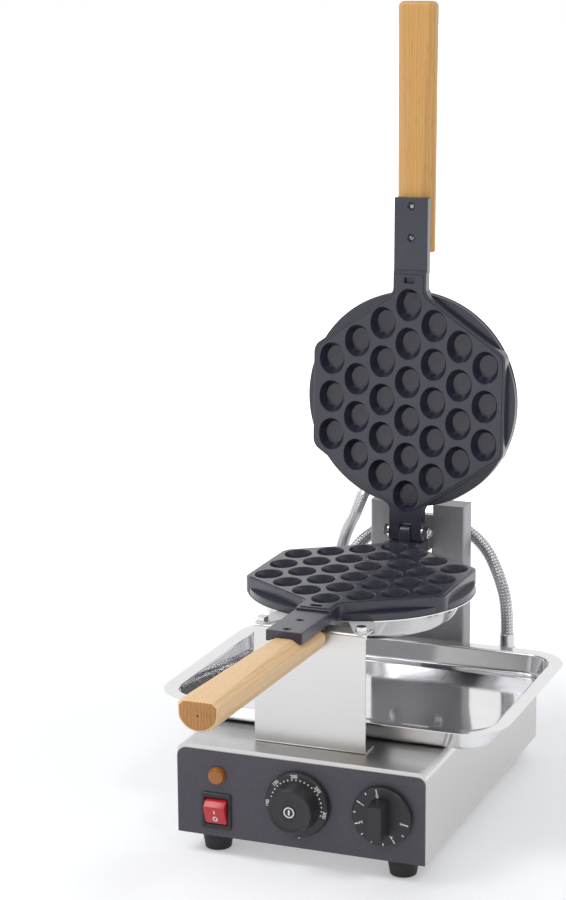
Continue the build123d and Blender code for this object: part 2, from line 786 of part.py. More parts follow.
# ---- Hinge bolt ----
bolt_seat = neck_width / 2 + hinge_washer_thickness
hinge_line = Location((0, 0, 0), (0, 90, 0))
hinge_in_lid = hinge_place * hinge_line
with BuildPart() as hinge_bolt:
    with BuildSketch(Plane.XY.offset(-bolt_seat)):
        Circle(hinge_bolt_radius)
    extrude(amount=2 * bolt_seat + hinge_nut_height + hinge_bolt_tail)
    with BuildSketch(Plane.XY.offset(-bolt_seat - hinge_bolt_head)):
        RegularPolygon(hex_across_flats / 2, 6, major_radius=False)
    extrude(amount=hinge_bolt_head)
    chamfer(hinge_bolt.edges().filter_by(GeomType.CIRCLE).group_by(Axis.Z)[-1], hinge_bolt_point)
write_placed(hinge_bolt, hinge_in_lid, "hinge_bolt")
hinge_washer = washer(hinge_bolt_radius + fit_clearance, hinge_washer_radius, hinge_washer_thickness)
hinge_washers = group(hinge_washer, [Location((0, 0, -bolt_seat)), Location((0, 0, neck_width / 2))])
write_placed(hinge_washers, hinge_in_lid, "hinge_washers")
hinge_nut = hex_nut(hinge_bolt_radius, hex_across_flats, hinge_nut_height)
write_placed(hinge_nut, hinge_in_lid * Location((0, 0, bolt_seat)), "hinge_nut")

# ---- Cabinet ----
shell_bottom = foot_height + sheet
rear_screw_places = [
    Location((side * rear_screw_spread, cabinet_back - cabinet_lip, foot_height), (180, 0, 0))
    for side in (-1, 1)
]
feet_places = [
    Location((side * (cabinet_side - foot_side_inset), y, foot_height))
    for side in (-1, 1)
    for y in (cabinet_front + foot_inset, cabinet_back - foot_inset)
]
fitting_y = cabinet_back - cabinet_fitting_inset
cabinet_fitting_places = [
    Location((side * (cabinet_side - cabinet_fitting_side_inset), fitting_y, cabinet_top)) for side in (-1, 1)
]
bracket_screw_y = bracket_front + bracket_screw_inset
column_screw_y = column_front + column_screw_inset
top_screw_places = [
    Location((side * stand_screw_spread, y, cabinet_top + bracket_sheet))
    for y in (bracket_screw_y, column_screw_y)
    for side in (-1, 1)
]
control_places = [(0, control_line), (timer_across, control_line)]
control_screw_spots = [
    (x + side * control_screw_spread / 2, z) for x, z in control_places for side in (-1, 1)
]


def front_holes(clearance):
    """Holes for the controls, in a front-facing sketch."""
    with BuildSketch(Plane.XZ) as holes:
        with Locations(*control_places):
            Circle(spindle_boss_radius + clearance)
        with Locations((switch_across, switch_line)):
            Rectangle(switch_body_width + 2 * clearance, switch_body_height + 2 * clearance)
        with Locations((lamp_across, lamp_line)):
            Circle(lamp_stem_radius + clearance)
    return holes


def end_outline(inset, bottom):
    """Cabinet's end view: straight bottom edge, folded top corners."""
    with BuildSketch(Plane.XZ) as outline:
        with Locations((0, bottom)):
            Rectangle(
                cabinet_width - 2 * inset, cabinet_top - inset - bottom, align=(Align.CENTER, Align.MIN)
            )
        fillet(outline.vertices().group_by(Axis.Y)[-1], cabinet_fold - inset)
    return outline


with BuildPart() as cabinet_shell:
    with BuildSketch(Plane.XZ.offset(-cabinet_front)):
        add(end_outline(0, shell_bottom).sketch)
    extrude(amount=-cabinet_depth)
    with BuildSketch(Plane.XZ.offset(-cabinet_front - sheet)):
        add(end_outline(sheet, shell_bottom).sketch)
    extrude(amount=-cabinet_depth, mode=Mode.SUBTRACT)
    with BuildSketch(Plane.XY.offset(shell_bottom)):
        with Locations((0, (cabinet_front + cabinet_back) / 2)):
            Rectangle(cabinet_width, cabinet_depth)
            Rectangle(cabinet_width - 2 * cabinet_lip, cabinet_depth + 2 * cut_over, mode=Mode.SUBTRACT)
    extrude(amount=sheet)
    with BuildSketch(Plane.XZ.offset(-cabinet_front)):
        add(front_holes(fit_clearance).sketch)
        with Locations(*control_screw_spots):
            Circle(control_screw_radius + fit_clearance)
    extrude(amount=-2 * sheet, mode=Mode.SUBTRACT)
    with Locations(*[place * Location((0, 0, -bracket_sheet)) for place in top_screw_places]):
        Hole(stand_screw_radius, depth=2 * sheet)
    with Locations(*cabinet_fitting_places):
        Hole(fitting_stem_radius + fit_clearance, depth=2 * sheet)
write(cabinet_shell, "cabinet_shell")

with BuildPart() as control_panel:
    with BuildSketch(Plane.XZ.offset(-panel_y)) as face:
        with Locations((0, foot_height)):
            Rectangle(
                cabinet_width - 2 * panel_side_reveal, cabinet_height - panel_reveal,
                align=(Align.CENTER, Align.MIN),
            )
        fillet(face.vertices().group_by(Axis.Y)[-1], cabinet_fold)
        add(front_holes(fit_clearance).sketch, mode=Mode.SUBTRACT)
        with Locations(*control_screw_spots):
            Circle(control_screw_head + fit_clearance, mode=Mode.SUBTRACT)
    extrude(amount=-panel_thickness)
write(control_panel, "control_panel")

with BuildPart() as bottom_plate:
    with BuildSketch(Plane.XY.offset(foot_height)):
        with Locations((0, (cabinet_front + cabinet_back) / 2)):
            Rectangle(cabinet_width, cabinet_depth)
            with GridLocations(vent_column_pitch, vent_pitch, 2, vent_count):
                SlotOverall(vent_length, vent_width, mode=Mode.SUBTRACT)
    extrude(amount=sheet)
    with Locations(*feet_places):
        Hole(foot_screw_radius + fit_clearance, depth=4 * sheet)
    with Locations(*rear_screw_places):
        Hole(stand_screw_radius + fit_clearance, depth=2 * sheet)
write(bottom_plate, "bottom_plate")

rear_inset = sheet + fit_clearance
with BuildPart() as rear_panel:
    with BuildSketch(Plane.XZ.offset(-cabinet_back + sheet)):
        add(end_outline(rear_inset, shell_bottom + sheet + fit_clearance).sketch)
        with Locations((gland_across, gland_line)):
            Circle(gland_stem_radius + fit_clearance, mode=Mode.SUBTRACT)
        with Locations((rear_vent_across, control_line)):
            with GridLocations(vent_pitch, 1, vent_count, 1):
                SlotOverall(rear_vent_length, vent_width, rotation=90, mode=Mode.SUBTRACT)
    extrude(amount=-sheet)
    # lower lip, turned in and screwed to the bottom plate's edge
    with BuildSketch(Plane.XY.offset(shell_bottom + sheet)):
        with Locations((0, cabinet_back)):
            Rectangle(cabinet_width - 2 * cabinet_lip, 2 * cabinet_lip, align=(Align.CENTER, Align.MAX))
    extrude(amount=sheet)
    with Locations(*rear_screw_places):
        Hole(stand_screw_radius, depth=4 * sheet)
write(rear_panel, "rear_panel")

rear_screw = screw(stand_screw_radius, rear_screw_length, rear_screw_head, rear_screw_head_height)
write(group(rear_screw, rear_screw_places), "rear_panel_screws")

with BuildPart() as foot:
    with BuildSketch(Plane.XZ):
        with BuildLine():
            tread_edge = (foot_tip_radius - foot_edge_round, -foot_height)
            tip_side = (foot_tip_radius, -foot_height + foot_edge_round)
            Polyline((0, -foot_height), tread_edge)
            RadiusArc(tread_edge, tip_side, -foot_edge_round)
            Polyline(
                tip_side, (foot_top_radius, -foot_waist), (foot_top_radius, 0), (foot_screw_radius, 0),
                (foot_screw_radius, -foot_well_depth), (foot_well_radius, -foot_well_depth),
                (foot_well_radius, -foot_height + foot_floor), (0, -foot_height + foot_floor),
                (0, -foot_height),
            )
        make_face()
    revolve(axis=Axis.Z)
write(group(foot, feet_places), "feet")

foot_screw = screw(foot_screw_radius, foot_screw_length, foot_screw_head, foot_screw_head_height)
foot_screw_places = [place * Location((0, 0, -foot_well_depth), (180, 0, 0)) for place in feet_places]
write(group(foot_screw, foot_screw_places), "foot_screws")

gland_place = Location((gland_across, cabinet_back, gland_line), (-90, 0, 0))
with BuildPart() as gland_form:
    with BuildSketch(Plane.XZ):
        with BuildLine():
            Polyline(
                (gland_bore, -gland_tail), (gland_stem_radius, -gland_tail), (gland_stem_radius, 0),
                (gland_radius, 0), (gland_radius, gland_collar), (gland_nose_radius, gland_reach),
                (gland_bore, gland_reach), close=True,
            )
        make_face()
    revolve(axis=Axis.Z)
write_placed(gland_form, gland_place, "cord_gland")

with BuildPart() as terminal_block:
    with BuildSketch(Plane.XY.offset(foot_height + sheet)):
        with Locations((gland_across, cabinet_back - terminal_setback)):
            Rectangle(terminal_length, terminal_width)
    extrude(amount=terminal_height)
    with BuildSketch(Plane.XY.offset(foot_height + sheet + terminal_height)):
        with Locations((gland_across, cabinet_back - terminal_setback)):
            with GridLocations(terminal_pitch, terminal_row_pitch, 4, 2):
                Circle(terminal_well_radius)
    extrude(amount=-terminal_well, mode=Mode.SUBTRACT)
write(terminal_block, "terminal_block")

# ---- Stand of the pan ----
bracket_top = reflector_top - reflector_sheet
bracket_flange_reach = lug_radius + bracket_setback - lug_reach + bracket_flange_over


with BuildPart() as front_bracket:
    with BuildLine(Plane.YZ.offset(-bracket_width / 2)):
        FilletPolyline(
            (bracket_front + bracket_flange_reach, bracket_top), (bracket_front, bracket_top),
            (bracket_front, cabinet_top), (bracket_front + bracket_foot, cabinet_top),
            radius=bend_radius,
        )
    make_brake_formed(bracket_sheet, bracket_width, side=Side.RIGHT)
    with Locations(*[Location((side * lug_spread, pan_y - lug_reach, bracket_top)) for side in (-1, 1)]):
        Hole(pan_bolt_radius + fit_clearance, depth=3 * bracket_sheet)
    with Locations(*[place for place in top_screw_places if place.position.Y < pan_y]):
        Hole(stand_screw_radius + fit_clearance, depth=2 * bracket_sheet)
write(front_bracket, "front_bracket")

column_height = pan_height + column_top - cabinet_top
with BuildPart() as rear_column:
    with BuildSketch(Plane.XY.offset(cabinet_top)) as channel:
        with Locations((0, column_front)):
            Rectangle(column_width, column_depth, align=(Align.CENTER, Align.MIN))
        fillet(channel.vertices().group_by(Axis.Y)[0], bend_radius)
    extrude(amount=column_height)
    with BuildSketch(Plane.XY.offset(cabinet_top + bracket_sheet)) as hollow:
        with Locations((0, column_front + bracket_sheet)):
            Rectangle(column_width - 2 * bracket_sheet, column_depth, align=(Align.CENTER, Align.MIN))
        fillet(hollow.vertices().group_by(Axis.Y)[0], bend_radius - bracket_sheet)
    extrude(amount=column_height - 2 * bracket_sheet, mode=Mode.SUBTRACT)
    # slot that the hinge and the support's tab pass through
    with BuildSketch(Plane.XZ.offset(-column_front + cut_over)) as slot:
        with Locations((0, pan_height + column_top + cut_over)):
            Rectangle(column_slot, column_slot_depth + cut_over, align=(Align.CENTER, Align.MAX))
        fillet(slot.vertices().group_by(Axis.Y)[0], bend_radius)
    extrude(amount=-column_depth - 2 * cut_over, mode=Mode.SUBTRACT)
    with Locations(*[place for place in top_screw_places if place.position.Y > pan_y]):
        Hole(stand_screw_radius + fit_clearance, depth=2 * bracket_sheet)
    support_screw_places = [
        Location((side * support_screw_spread, column_front, pan_height - drop), (90, 0, 0))
        for side in (-1, 1)
        for drop in (support_upper_screw_drop, support_drop - support_lower_screw_inset)
    ]
    with Locations(*support_screw_places):
        Hole(stand_screw_radius + fit_clearance, depth=2 * bracket_sheet)
write(rear_column, "rear_column")



def small_screw(length):
    return screw(stand_screw_radius, length, small_screw_head, small_screw_head_height)


stand_screw = small_screw(stand_screw_length)
write(group(stand_screw, top_screw_places[:2]), "bracket_screws")
write(group(stand_screw, top_screw_places[2:]), "column_screws")

support_back = column_front + bracket_sheet
tab_top = reflector_top
tab_front = pan_y + hinge_neck_reach - support_tab_lap
with BuildPart() as hinge_support:
    with BuildSketch(Plane.XZ.offset(-support_back)):
        with Locations((0, pan_height - support_drop)):
            Rectangle(support_width, support_drop + support_top, align=(Align.CENTER, Align.MIN))
    extrude(amount=-support_sheet)
    with BuildSketch(Plane.XY.offset(tab_top - support_sheet)) as tab:
        with Locations((0, tab_front)):
            Rectangle(
                support_tab_width, support_back - tab_front + support_sheet, align=(Align.CENTER, Align.MIN)
            )
        chamfer(tab.vertices().group_by(Axis.Y)[0], support_tab_corner)
    extrude(amount=support_sheet)
    # window left where the tab was bent out
    with BuildSketch(Plane.XZ.offset(-support_back + cut_over)):
        with Locations((0, tab_top - support_sheet)):
            Rectangle(support_tab_width, support_back - tab_front, align=(Align.CENTER, Align.MAX))
    extrude(amount=-support_sheet - 2 * cut_over, mode=Mode.SUBTRACT)
    with Locations(*support_screw_places):
        Hole(stand_screw_radius, depth=support_screw_length + bracket_sheet + support_sheet)
    neck_screw_y = pan_y + hinge_neck_reach - neck_screw_inset
    neck_screw_places = [
        Location((side * neck_screw_spread / 2, neck_screw_y, tab_top - support_sheet), (180, 0, 0))
        for side in (-1, 1)
    ]
    with Locations(*neck_screw_places):
        Hole(stand_screw_radius + fit_clearance, depth=2 * support_sheet)
write(hinge_support, "hinge_support")
write(group(small_screw(support_screw_length), support_screw_places), "support_screws")
write(group(small_screw(neck_screw_length), neck_screw_places), "neck_screws")

pan_bolt_places = [Location((side * lug_spread, pan_y - lug_reach, reflector_top)) for side in (-1, 1)]
pan_washer = washer(pan_bolt_radius + fit_clearance, pan_washer_radius, pan_washer_thickness)
write(group(pan_washer, pan_bolt_places), "pan_washers")
with BuildPart() as pan_bolt:
    with BuildSketch(Plane.XY.offset(pan_washer_thickness)):
        RegularPolygon(pan_bolt_hex / 2, 6, major_radius=False)
    extrude(amount=pan_bolt_head)
    with BuildSketch(Plane.XY.offset(pan_washer_thickness)):
        Circle(pan_bolt_radius)
    extrude(amount=-pan_washer_thickness - reflector_sheet - bracket_sheet - pan_bolt_tail)
write(group(pan_bolt, pan_bolt_places), "pan_bolts")
pan_nut = hex_nut(pan_bolt_radius, pan_bolt_hex, pan_nut_height)
below_flange = Location((0, 0, -reflector_sheet - bracket_sheet - pan_nut_height))
write(group(pan_nut, [place * below_flange for place in pan_bolt_places]), "pan_nuts")

# ---- Drip tray ----


def tray_outline(inset, height):
    with BuildSketch(Plane.XY.offset(height)) as outline:
        with Locations((0, pan_y + tray_shift)):
            RectangleRounded(tray_length - 2 * inset, tray_width - 2 * inset, tray_corner - inset)
    return outline


tray_floor = cabinet_top + moving_gap
with BuildPart() as drip_tray:
    wall_foot = tray_outline(tray_rim + tray_draft, tray_floor)
    wall_top = tray_outline(tray_rim, tray_floor + tray_depth)
    loft(sections=[wall_foot.sketch, wall_top.sketch])
    fillet(drip_tray.faces().sort_by(Axis.Z)[0].edges(), tray_foot_bend)
    add(tray_outline(0, tray_floor + tray_depth - tray_sheet).sketch)
    extrude(amount=tray_sheet)
    with BuildPart(mode=Mode.PRIVATE) as tray_hollow:
        hollow_foot = tray_outline(tray_rim + tray_draft + tray_sheet, tray_floor + tray_sheet)
        hollow_top = tray_outline(tray_rim + tray_sheet, tray_floor + tray_depth)
        loft(sections=[hollow_foot.sketch, hollow_top.sketch])
        fillet(tray_hollow.faces().sort_by(Axis.Z)[0].edges(), tray_foot_bend - tray_sheet)
    add(tray_hollow.part, mode=Mode.SUBTRACT)
write(drip_tray, "drip_tray")

# ---- Dials ----
facing_front = (90, 0, 0)     # Z of a control's own frame points out of the panel
skirt_face = dial_gap + dial_skirt_thickness
with BuildPart() as temperature_form:
    with BuildSketch(Plane.XZ):
        with BuildLine():
            Polyline(
                (0, dial_gap), (temperature_dial_radius, dial_gap),
                (temperature_dial_radius, dial_gap + temperature_skirt_rim),
                (temperature_dial_radius - temperature_skirt_bevel, skirt_face),
                (temperature_grip_root, skirt_face),
                (temperature_grip_tip, dial_reach - temperature_grip_round),
                (temperature_grip_tip - temperature_grip_round, dial_reach),
                (temperature_grip_tip - temperature_face_ring, dial_reach),
                (temperature_cap_radius + temperature_face_ring, dial_reach - temperature_face_dish),
                (temperature_cap_radius, dial_reach - temperature_face_dish),
                (temperature_cap_radius, dial_reach - temperature_cap_depth),
                (0, dial_reach - temperature_cap_depth), close=True,
            )
        make_face()
    revolve(axis=Axis.Z)
    with BuildSketch(Plane.XY.offset(dial_gap)):
        Circle(spindle_radius)
    extrude(amount=spindle_depth, mode=Mode.SUBTRACT)
temperature_place = Location((0, panel_y, control_line), facing_front)
write_placed(temperature_form, temperature_place, "temperature_knob")
with BuildPart() as temperature_cap:
    with BuildSketch(Plane.XY.offset(dial_reach - temperature_cap_depth)):
        Circle(temperature_cap_radius - fit_clearance)
    extrude(amount=temperature_cap_depth - temperature_cap_sink)
write_placed(temperature_cap, temperature_place, "temperature_cap")

with BuildPart() as timer_form:
    with BuildSketch(Plane.XY.offset(dial_gap)):
        Circle(timer_dial_radius)
    extrude(amount=dial_skirt_thickness)
    chamfer(timer_form.faces().sort_by(Axis.Z)[-1].edges(), timer_skirt_bevel)
    with BuildSketch(Plane.XZ):
        with BuildLine():
            Polyline(
                (0, skirt_face), (timer_boss_radius, skirt_face), (timer_boss_tip, dial_reach),
                (0, dial_reach), close=True,
            )
        make_face()
    revolve(axis=Axis.Z)
    with BuildSketch(Plane.XZ) as slanted_sides:
        with BuildLine():
            over = timer_boss_radius + cut_over
            Polyline(
                (timer_bar_width / 2, dial_reach), (timer_boss_radius, skirt_face), (over, skirt_face),
                (over, dial_reach + cut_over), (timer_bar_width / 2, dial_reach + cut_over), close=True,
            )
        make_face()
        mirror(about=Plane.YZ)
    extrude(amount=over, both=True, mode=Mode.SUBTRACT)
    with BuildSketch(Plane.XY.offset(dial_gap)):
        Circle(spindle_radius)
    extrude(amount=spindle_depth, mode=Mode.SUBTRACT)
timer_place = Location((timer_across, panel_y, control_line), facing_front)
write_placed(timer_form, timer_place, "timer_knob")

spindle_tail = panel_thickness + sheet + spindle_bearing
with BuildPart() as spindle:
    with BuildSketch(Plane.XY.offset(-spindle_tail)):
        Circle(spindle_radius)
    extrude(amount=spindle_tail + dial_gap + spindle_depth)
write_placed(spindle, temperature_place, "thermostat_spindle")
write_placed(spindle, timer_place, "timer_spindle")


def control_case(section, depth):
    """Case behind the front wall, with the boss and bearing of its spindle."""
    wall = -panel_thickness - sheet
    with BuildPart() as made:
        with BuildSketch(Plane.XY.offset(wall)):
            add(section.sketch)
        extrude(amount=-depth)
        with BuildSketch(Plane.XY.offset(wall)):
            Circle(spindle_boss_radius)
        extrude(amount=panel_thickness + sheet)
        with BuildSketch(Plane.XY):
            Circle(spindle_radius + running_clearance)
        extrude(amount=-spindle_tail - moving_gap, mode=Mode.SUBTRACT)
        with Locations(*[Location((side * control_screw_spread / 2, 0, wall)) for side in (-1, 1)]):
            Hole(control_screw_radius, depth=control_thread_depth)
    return made


with BuildSketch() as thermostat_section:
    RectangleRounded(thermostat_length, thermostat_width, thermostat_corner)
with BuildSketch() as timer_section:
    Circle(timer_case_radius)
write_placed(control_case(thermostat_section, thermostat_depth), temperature_place, "thermostat_body")
write_placed(control_case(timer_section, timer_case_depth), timer_place, "timer_body")
control_screw = screw(control_screw_radius, control_screw_length, control_screw_head, panel_thickness)
screw_line = Location((0, 0, -panel_thickness))
write(
    group(control_screw, [
        place * screw_line * Location((side * control_screw_spread / 2, 0, 0))
        for place in (temperature_place, timer_place)
        for side in (-1, 1)
    ]),
    "control_screws",
)

# ---- Power switch: housing with its bezel, and the rocker on two pins ----
switch_place = Location((switch_across, panel_y, switch_line), facing_front)
rocker_radius = rocker_height / 2
well_radius = rocker_radius + moving_gap
with BuildPart() as switch_housing:
    with BuildSketch():
        RectangleRounded(bezel_width, bezel_height, bezel_corner)
    extrude(amount=bezel_thickness)
    chamfer(switch_housing.faces().sort_by(Axis.Z)[-1].edges(), bezel_bevel)
    with BuildSketch():
        Rectangle(switch_body_width, switch_body_height)
    extrude(amount=-switch_body_depth)
    with BuildSketch(Plane.XY.offset(bezel_thickness)):
        Rectangle(rocker_width + 2 * moving_gap, 2 * well_radius)
    extrude(amount=-rocker_well - bezel_thickness, mode=Mode.SUBTRACT)
    with BuildSketch(Plane.YZ):
        with Locations((0, -rocker_pivot_depth)):
            Circle(rocker_pin_radius + running_clearance)
    extrude(amount=rocker_width / 2 + rocker_pin_length + moving_gap, both=True, mode=Mode.SUBTRACT)
    for side in (-1, 1):
        with BuildSketch(Plane.XY.offset(-switch_body_depth)):
            with Locations((0, side * switch_body_height / 4)):
                Rectangle(blade_width, blade_thickness)
        extrude(amount=-blade_length)
write_placed(switch_housing, switch_place, "switch_housing")

with BuildPart() as rocker_form:
    with BuildSketch(Plane.YZ):
        Circle(rocker_radius)
        with BuildLine():
            outside = rocker_radius + cut_over
            Polyline(
                (-outside, rocker_edge), (0, rocker_nose), (outside, rocker_edge),
                (outside, outside), (-outside, outside), close=True,
            )
        make_face(mode=Mode.SUBTRACT)
        with Locations((0, -rocker_radius)):
            Rectangle(2 * rocker_radius, 2 * (rocker_radius - rocker_heel), mode=Mode.SUBTRACT)
    extrude(amount=rocker_width / 2, both=True)
    with BuildSketch(Plane.YZ):
        Circle(rocker_pin_radius)
    extrude(amount=rocker_width / 2 + rocker_pin_length, both=True)
rocker_place = switch_place * Location((0, 0, -rocker_pivot_depth), (rocker_tilt, 0, 0))
write_placed(rocker_form, rocker_place, "power_rocker")

# ---- Pilot lamp ----
lamp_place = Location((lamp_across, panel_y, lamp_line), facing_front)
with BuildPart() as pilot_lens:
    with BuildSketch(Plane.XZ):
        with BuildLine():
            Polyline(
                (0, lamp_lens_reach), (0, -lamp_stem_length), (lamp_stem_radius, -lamp_stem_length),
                (lamp_stem_radius, 0), (lamp_lens_radius, 0), (lamp_lens_radius, lamp_lens_rim),
            )
            TangentArc((0, lamp_lens_reach), (lamp_lens_radius, lamp_lens_rim), tangent=(1, 0))
        make_face()
    revolve(axis=Axis.Z)
write_placed(pilot_lens, lamp_place, "pilot_lens")
lamp_nut = washer(lamp_stem_radius, lamp_nut_radius, lamp_nut_height)
write_placed(lamp_nut, lamp_place * Location((0, 0, -panel_thickness - sheet - lamp_nut_height)), "pilot_nut")

# ---- Hoses: straight runs joined by arcs as large as the runs allow ----


def hose_path(points):
    corners = []
    for before, here, after in zip(points, points[1:], points[2:]):
        inward, outward = here - before, after - here
        turn = radians(inward.get_angle(outward))
        corners.append(0.45 * min(inward.length, outward.length) / tan(turn / 2))
    print("hose radii", [round(radius) for radius in corners])
    with BuildLine() as run:
        FilletPolyline(*points, radius=corners)
    return run


def hose(points):
    run = hose_path(points)
    with BuildPart() as made:
        add(run.line)
        with BuildSketch(Plane(origin=run.line @ 0, z_dir=run.line % 0)):
            Circle(hose_diameter / 2)
        sweep(path=run.line)
    length = run.wires()[0].length
    share = made.part.volume / (length * pi * hose_diameter ** 2 / 4)
    print(f"hose length {length:.1f}, volume over section times length {share:.4f}")
    return made


fitting_top = fitting_hex_height + fitting_ferrule_length
lower_exit = (lower_place * fitting_place(-1).location * Location((0, 0, fitting_top)))
upper_exit = (upper_place * fitting_place(1).location * Location((0, 0, fitting_top)))
cabinet_exits = [place * Location((0, 0, fitting_top)) for place in cabinet_fitting_places]
write(group(hose_fitting, cabinet_fitting_places), "cabinet_hose_fittings")
write(group(fitting_nut, [place * behind_sheet for place in cabinet_fitting_places]), "cabinet_fitting_nuts")

# Each route leaves both fittings straight. Its points between are about the middle of the lower cooking face.
lower_route = [
    (-69, 146, -37), (-57, 171, -16), (-31, 185, -3), (0, 190, 1),
    (30, 188, -4), (54, 182, -19), (70, 172, -42),
]
lid_route = [(-67, 171, 4), (-77, 184, -9), (-85, 187, -27), (-87, 181, -47), (-83, 170, -64)]
for name, start, route, end, start_run, end_run in (
    ("lower_hose", lower_exit, lower_route, cabinet_exits[1], 30, 27),
    ("lid_hose", upper_exit, lid_route, cabinet_exits[0], 20, 15),
):
    points = [start.position, (start * Location((0, 0, start_run))).position]
    points += [(lower_place * Location(point)).position for point in route]
    points += [(end * Location((0, 0, end_run))).position, end.position]
    print(name, [tuple(round(value, 1) for value in point) for point in points])
    write(hose(points), name)
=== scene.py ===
import bpy
import bmesh
from math import atan2, ceil, cos, floor, pi, radians, sin, sqrt, tan
from mathutils import Matrix, Vector
from mathutils.geometry import delaunay_2d_cdt


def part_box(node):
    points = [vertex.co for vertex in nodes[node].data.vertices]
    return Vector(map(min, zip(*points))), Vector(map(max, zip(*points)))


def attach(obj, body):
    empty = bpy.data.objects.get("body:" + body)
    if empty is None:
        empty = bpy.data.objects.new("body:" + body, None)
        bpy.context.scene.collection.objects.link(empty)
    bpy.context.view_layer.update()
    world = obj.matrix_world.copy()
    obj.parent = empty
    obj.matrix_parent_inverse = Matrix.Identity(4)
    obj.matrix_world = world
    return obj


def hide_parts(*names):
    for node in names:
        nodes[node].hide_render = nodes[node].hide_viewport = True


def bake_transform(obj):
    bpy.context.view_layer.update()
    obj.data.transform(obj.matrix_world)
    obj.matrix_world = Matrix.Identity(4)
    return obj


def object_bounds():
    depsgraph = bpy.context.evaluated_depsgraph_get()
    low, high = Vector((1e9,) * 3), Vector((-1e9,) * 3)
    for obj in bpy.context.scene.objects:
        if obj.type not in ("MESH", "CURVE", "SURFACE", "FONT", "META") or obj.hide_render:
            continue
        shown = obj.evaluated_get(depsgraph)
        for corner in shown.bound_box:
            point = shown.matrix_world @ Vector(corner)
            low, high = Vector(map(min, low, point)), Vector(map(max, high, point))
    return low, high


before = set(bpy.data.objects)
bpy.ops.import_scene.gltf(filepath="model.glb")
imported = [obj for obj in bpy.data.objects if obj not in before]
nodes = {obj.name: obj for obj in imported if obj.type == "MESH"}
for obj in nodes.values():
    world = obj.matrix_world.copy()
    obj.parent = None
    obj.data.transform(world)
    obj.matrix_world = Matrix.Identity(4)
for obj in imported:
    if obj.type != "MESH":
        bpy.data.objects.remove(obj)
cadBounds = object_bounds()
scene = bpy.context.scene
mm = 0.001
print("frame loaded:", len(nodes), "nodes")


# the view that the object is shown in
camera = {
    "place": (0.63895, -1.69895, 0.74374),
    "azimuth": radians(21.68),
    "elevation": radians(12.82),
    "roll": radians(-0.385),
    "lens": 93.08,
    "sensor": 36.0,
    "shift": (-0.00267, 0.00194),
}


def held(name, data):
    # an object of the scene that holds this mesh, curve, camera or lamp
    holder = bpy.data.objects.new(name, data)
    scene.collection.objects.link(holder)
    return holder


def makeCamera(size):
    turn, rise, roll = size["azimuth"], size["elevation"], size["roll"]
    forward = Vector((-sin(turn) * cos(rise), cos(turn) * cos(rise), -sin(rise)))
    level = Vector((cos(turn), sin(turn), 0))
    upright = level.cross(forward)
    across = level * cos(roll) + upright * sin(roll)
    up = upright * cos(roll) - level * sin(roll)
    data = bpy.data.cameras.new("productCamera")
    data.lens = size["lens"]
    data.sensor_width = size["sensor"]
    data.shift_x, data.shift_y = size["shift"]
    scene.camera = held("productCamera", data)
    facing = Matrix((across, up, -forward)).transposed().to_4x4()
    scene.camera.matrix_world = Matrix.Translation(size["place"]) @ facing


makeCamera(camera)


# places that follow from the frame
def middleOf(node):
    low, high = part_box(node)
    return (low + high) / 2


panY = middleOf("lower_clamp_stud").y
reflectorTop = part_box("lower_reflector")[1].z
hingeMiddle = middleOf("hinge_washers")
tableZ = cadBounds[0][2]

# sizes that both plates and their pieces share, in millimetres in a plate's own frame,
# whose cooking face lies on z = 0 looking up, with the handle towards -y
pan = {
    "columnPitch": 23.5,
    "rowPitch": 34.0,
    "sideColumns": 3,         # on each side of the middle column, each with one cavity less
    "middleCount": 6,
    "halfWidth": 88.0,
    "halfLength": 105.0,
    "sideFlat": 90.0,
    "corner": 12.0,
    "thickness": 14.5,
    "skirtRadius": 95.5,
    "skirtHeight": 5.5,
    "neckWidth": 30.0,
    "neckDepth": 11.5,
    "neckReach": 115.0,
    "neckFlare": 9.0,
    "hingeReach": 117.8,
    "hingeRise": 5.5,
    "closedGap": 0.3,
    "openAngle": radians(92.3),
    "lowNeckReach": 134.0,
    "tangTilt": radians(1.2),
    "tangStep": 2.4,
}
panFaceZ = reflectorTop + pan["thickness"] * mm
lowerPlace = Matrix.Translation((0, panY, panFaceZ)) @ Matrix.Scale(mm, 4)
hingePlace = Matrix.Translation((0, hingeMiddle.y, hingeMiddle.z))
hingeDrop = pan["closedGap"] - pan["hingeRise"]
closedLid = Matrix.Translation((0, -pan["hingeReach"] * mm, hingeDrop * mm))
upperPlace = (
    hingePlace
    @ Matrix.Rotation(-pan["openAngle"], 4, "X")
    @ closedLid
    @ Matrix.Rotation(pi, 4, "Y")
    @ Matrix.Scale(mm, 4)
)
tangPlace = (
    Matrix.Translation((0, -pan["neckReach"], -pan["tangStep"]))
    @ Matrix.Rotation(-pan["tangTilt"], 4, "X")
)


# mesh helpers
def smoothed(mesh, angle=32):
    mesh.shade_smooth()
    mesh.set_sharp_from_angle(angle=radians(angle))
    return mesh


def settle(mesh, angle=32, normals=True):
    work = bmesh.new()
    work.from_mesh(mesh)
    bmesh.ops.remove_doubles(work, verts=work.verts, dist=1e-7)
    if normals:
        bmesh.ops.recalc_face_normals(work, faces=work.faces)
    work.to_mesh(mesh)
    work.free()
    return smoothed(mesh, angle)


def meshOf(name, points, faces, place=Matrix.Identity(4), angle=32):
    mesh = bpy.data.meshes.new(name)
    mesh.from_pydata([place @ Vector(p) for p in points], [], faces)
    return settle(mesh, angle)


def ringShell(rings, closed=False, capFirst=True, capLast=True):
    # rings of equal length, bridged one to the next
    count = len(rings[0])
    points = [p for ring in rings for p in ring]
    faces = []
    last = len(rings) if closed else len(rings) - 1
    for row in range(last):
        here, there = row * count, (row + 1) % len(rings) * count
        for k in range(count):
            j = (k + 1) % count
            faces.append((here + k, here + j, there + j, there + k))
    if capFirst and not closed:
        faces.append(tuple(reversed(range(count))))
    if capLast and not closed:
        faces.append(tuple(range(len(points) - count, len(points))))
    return points, faces


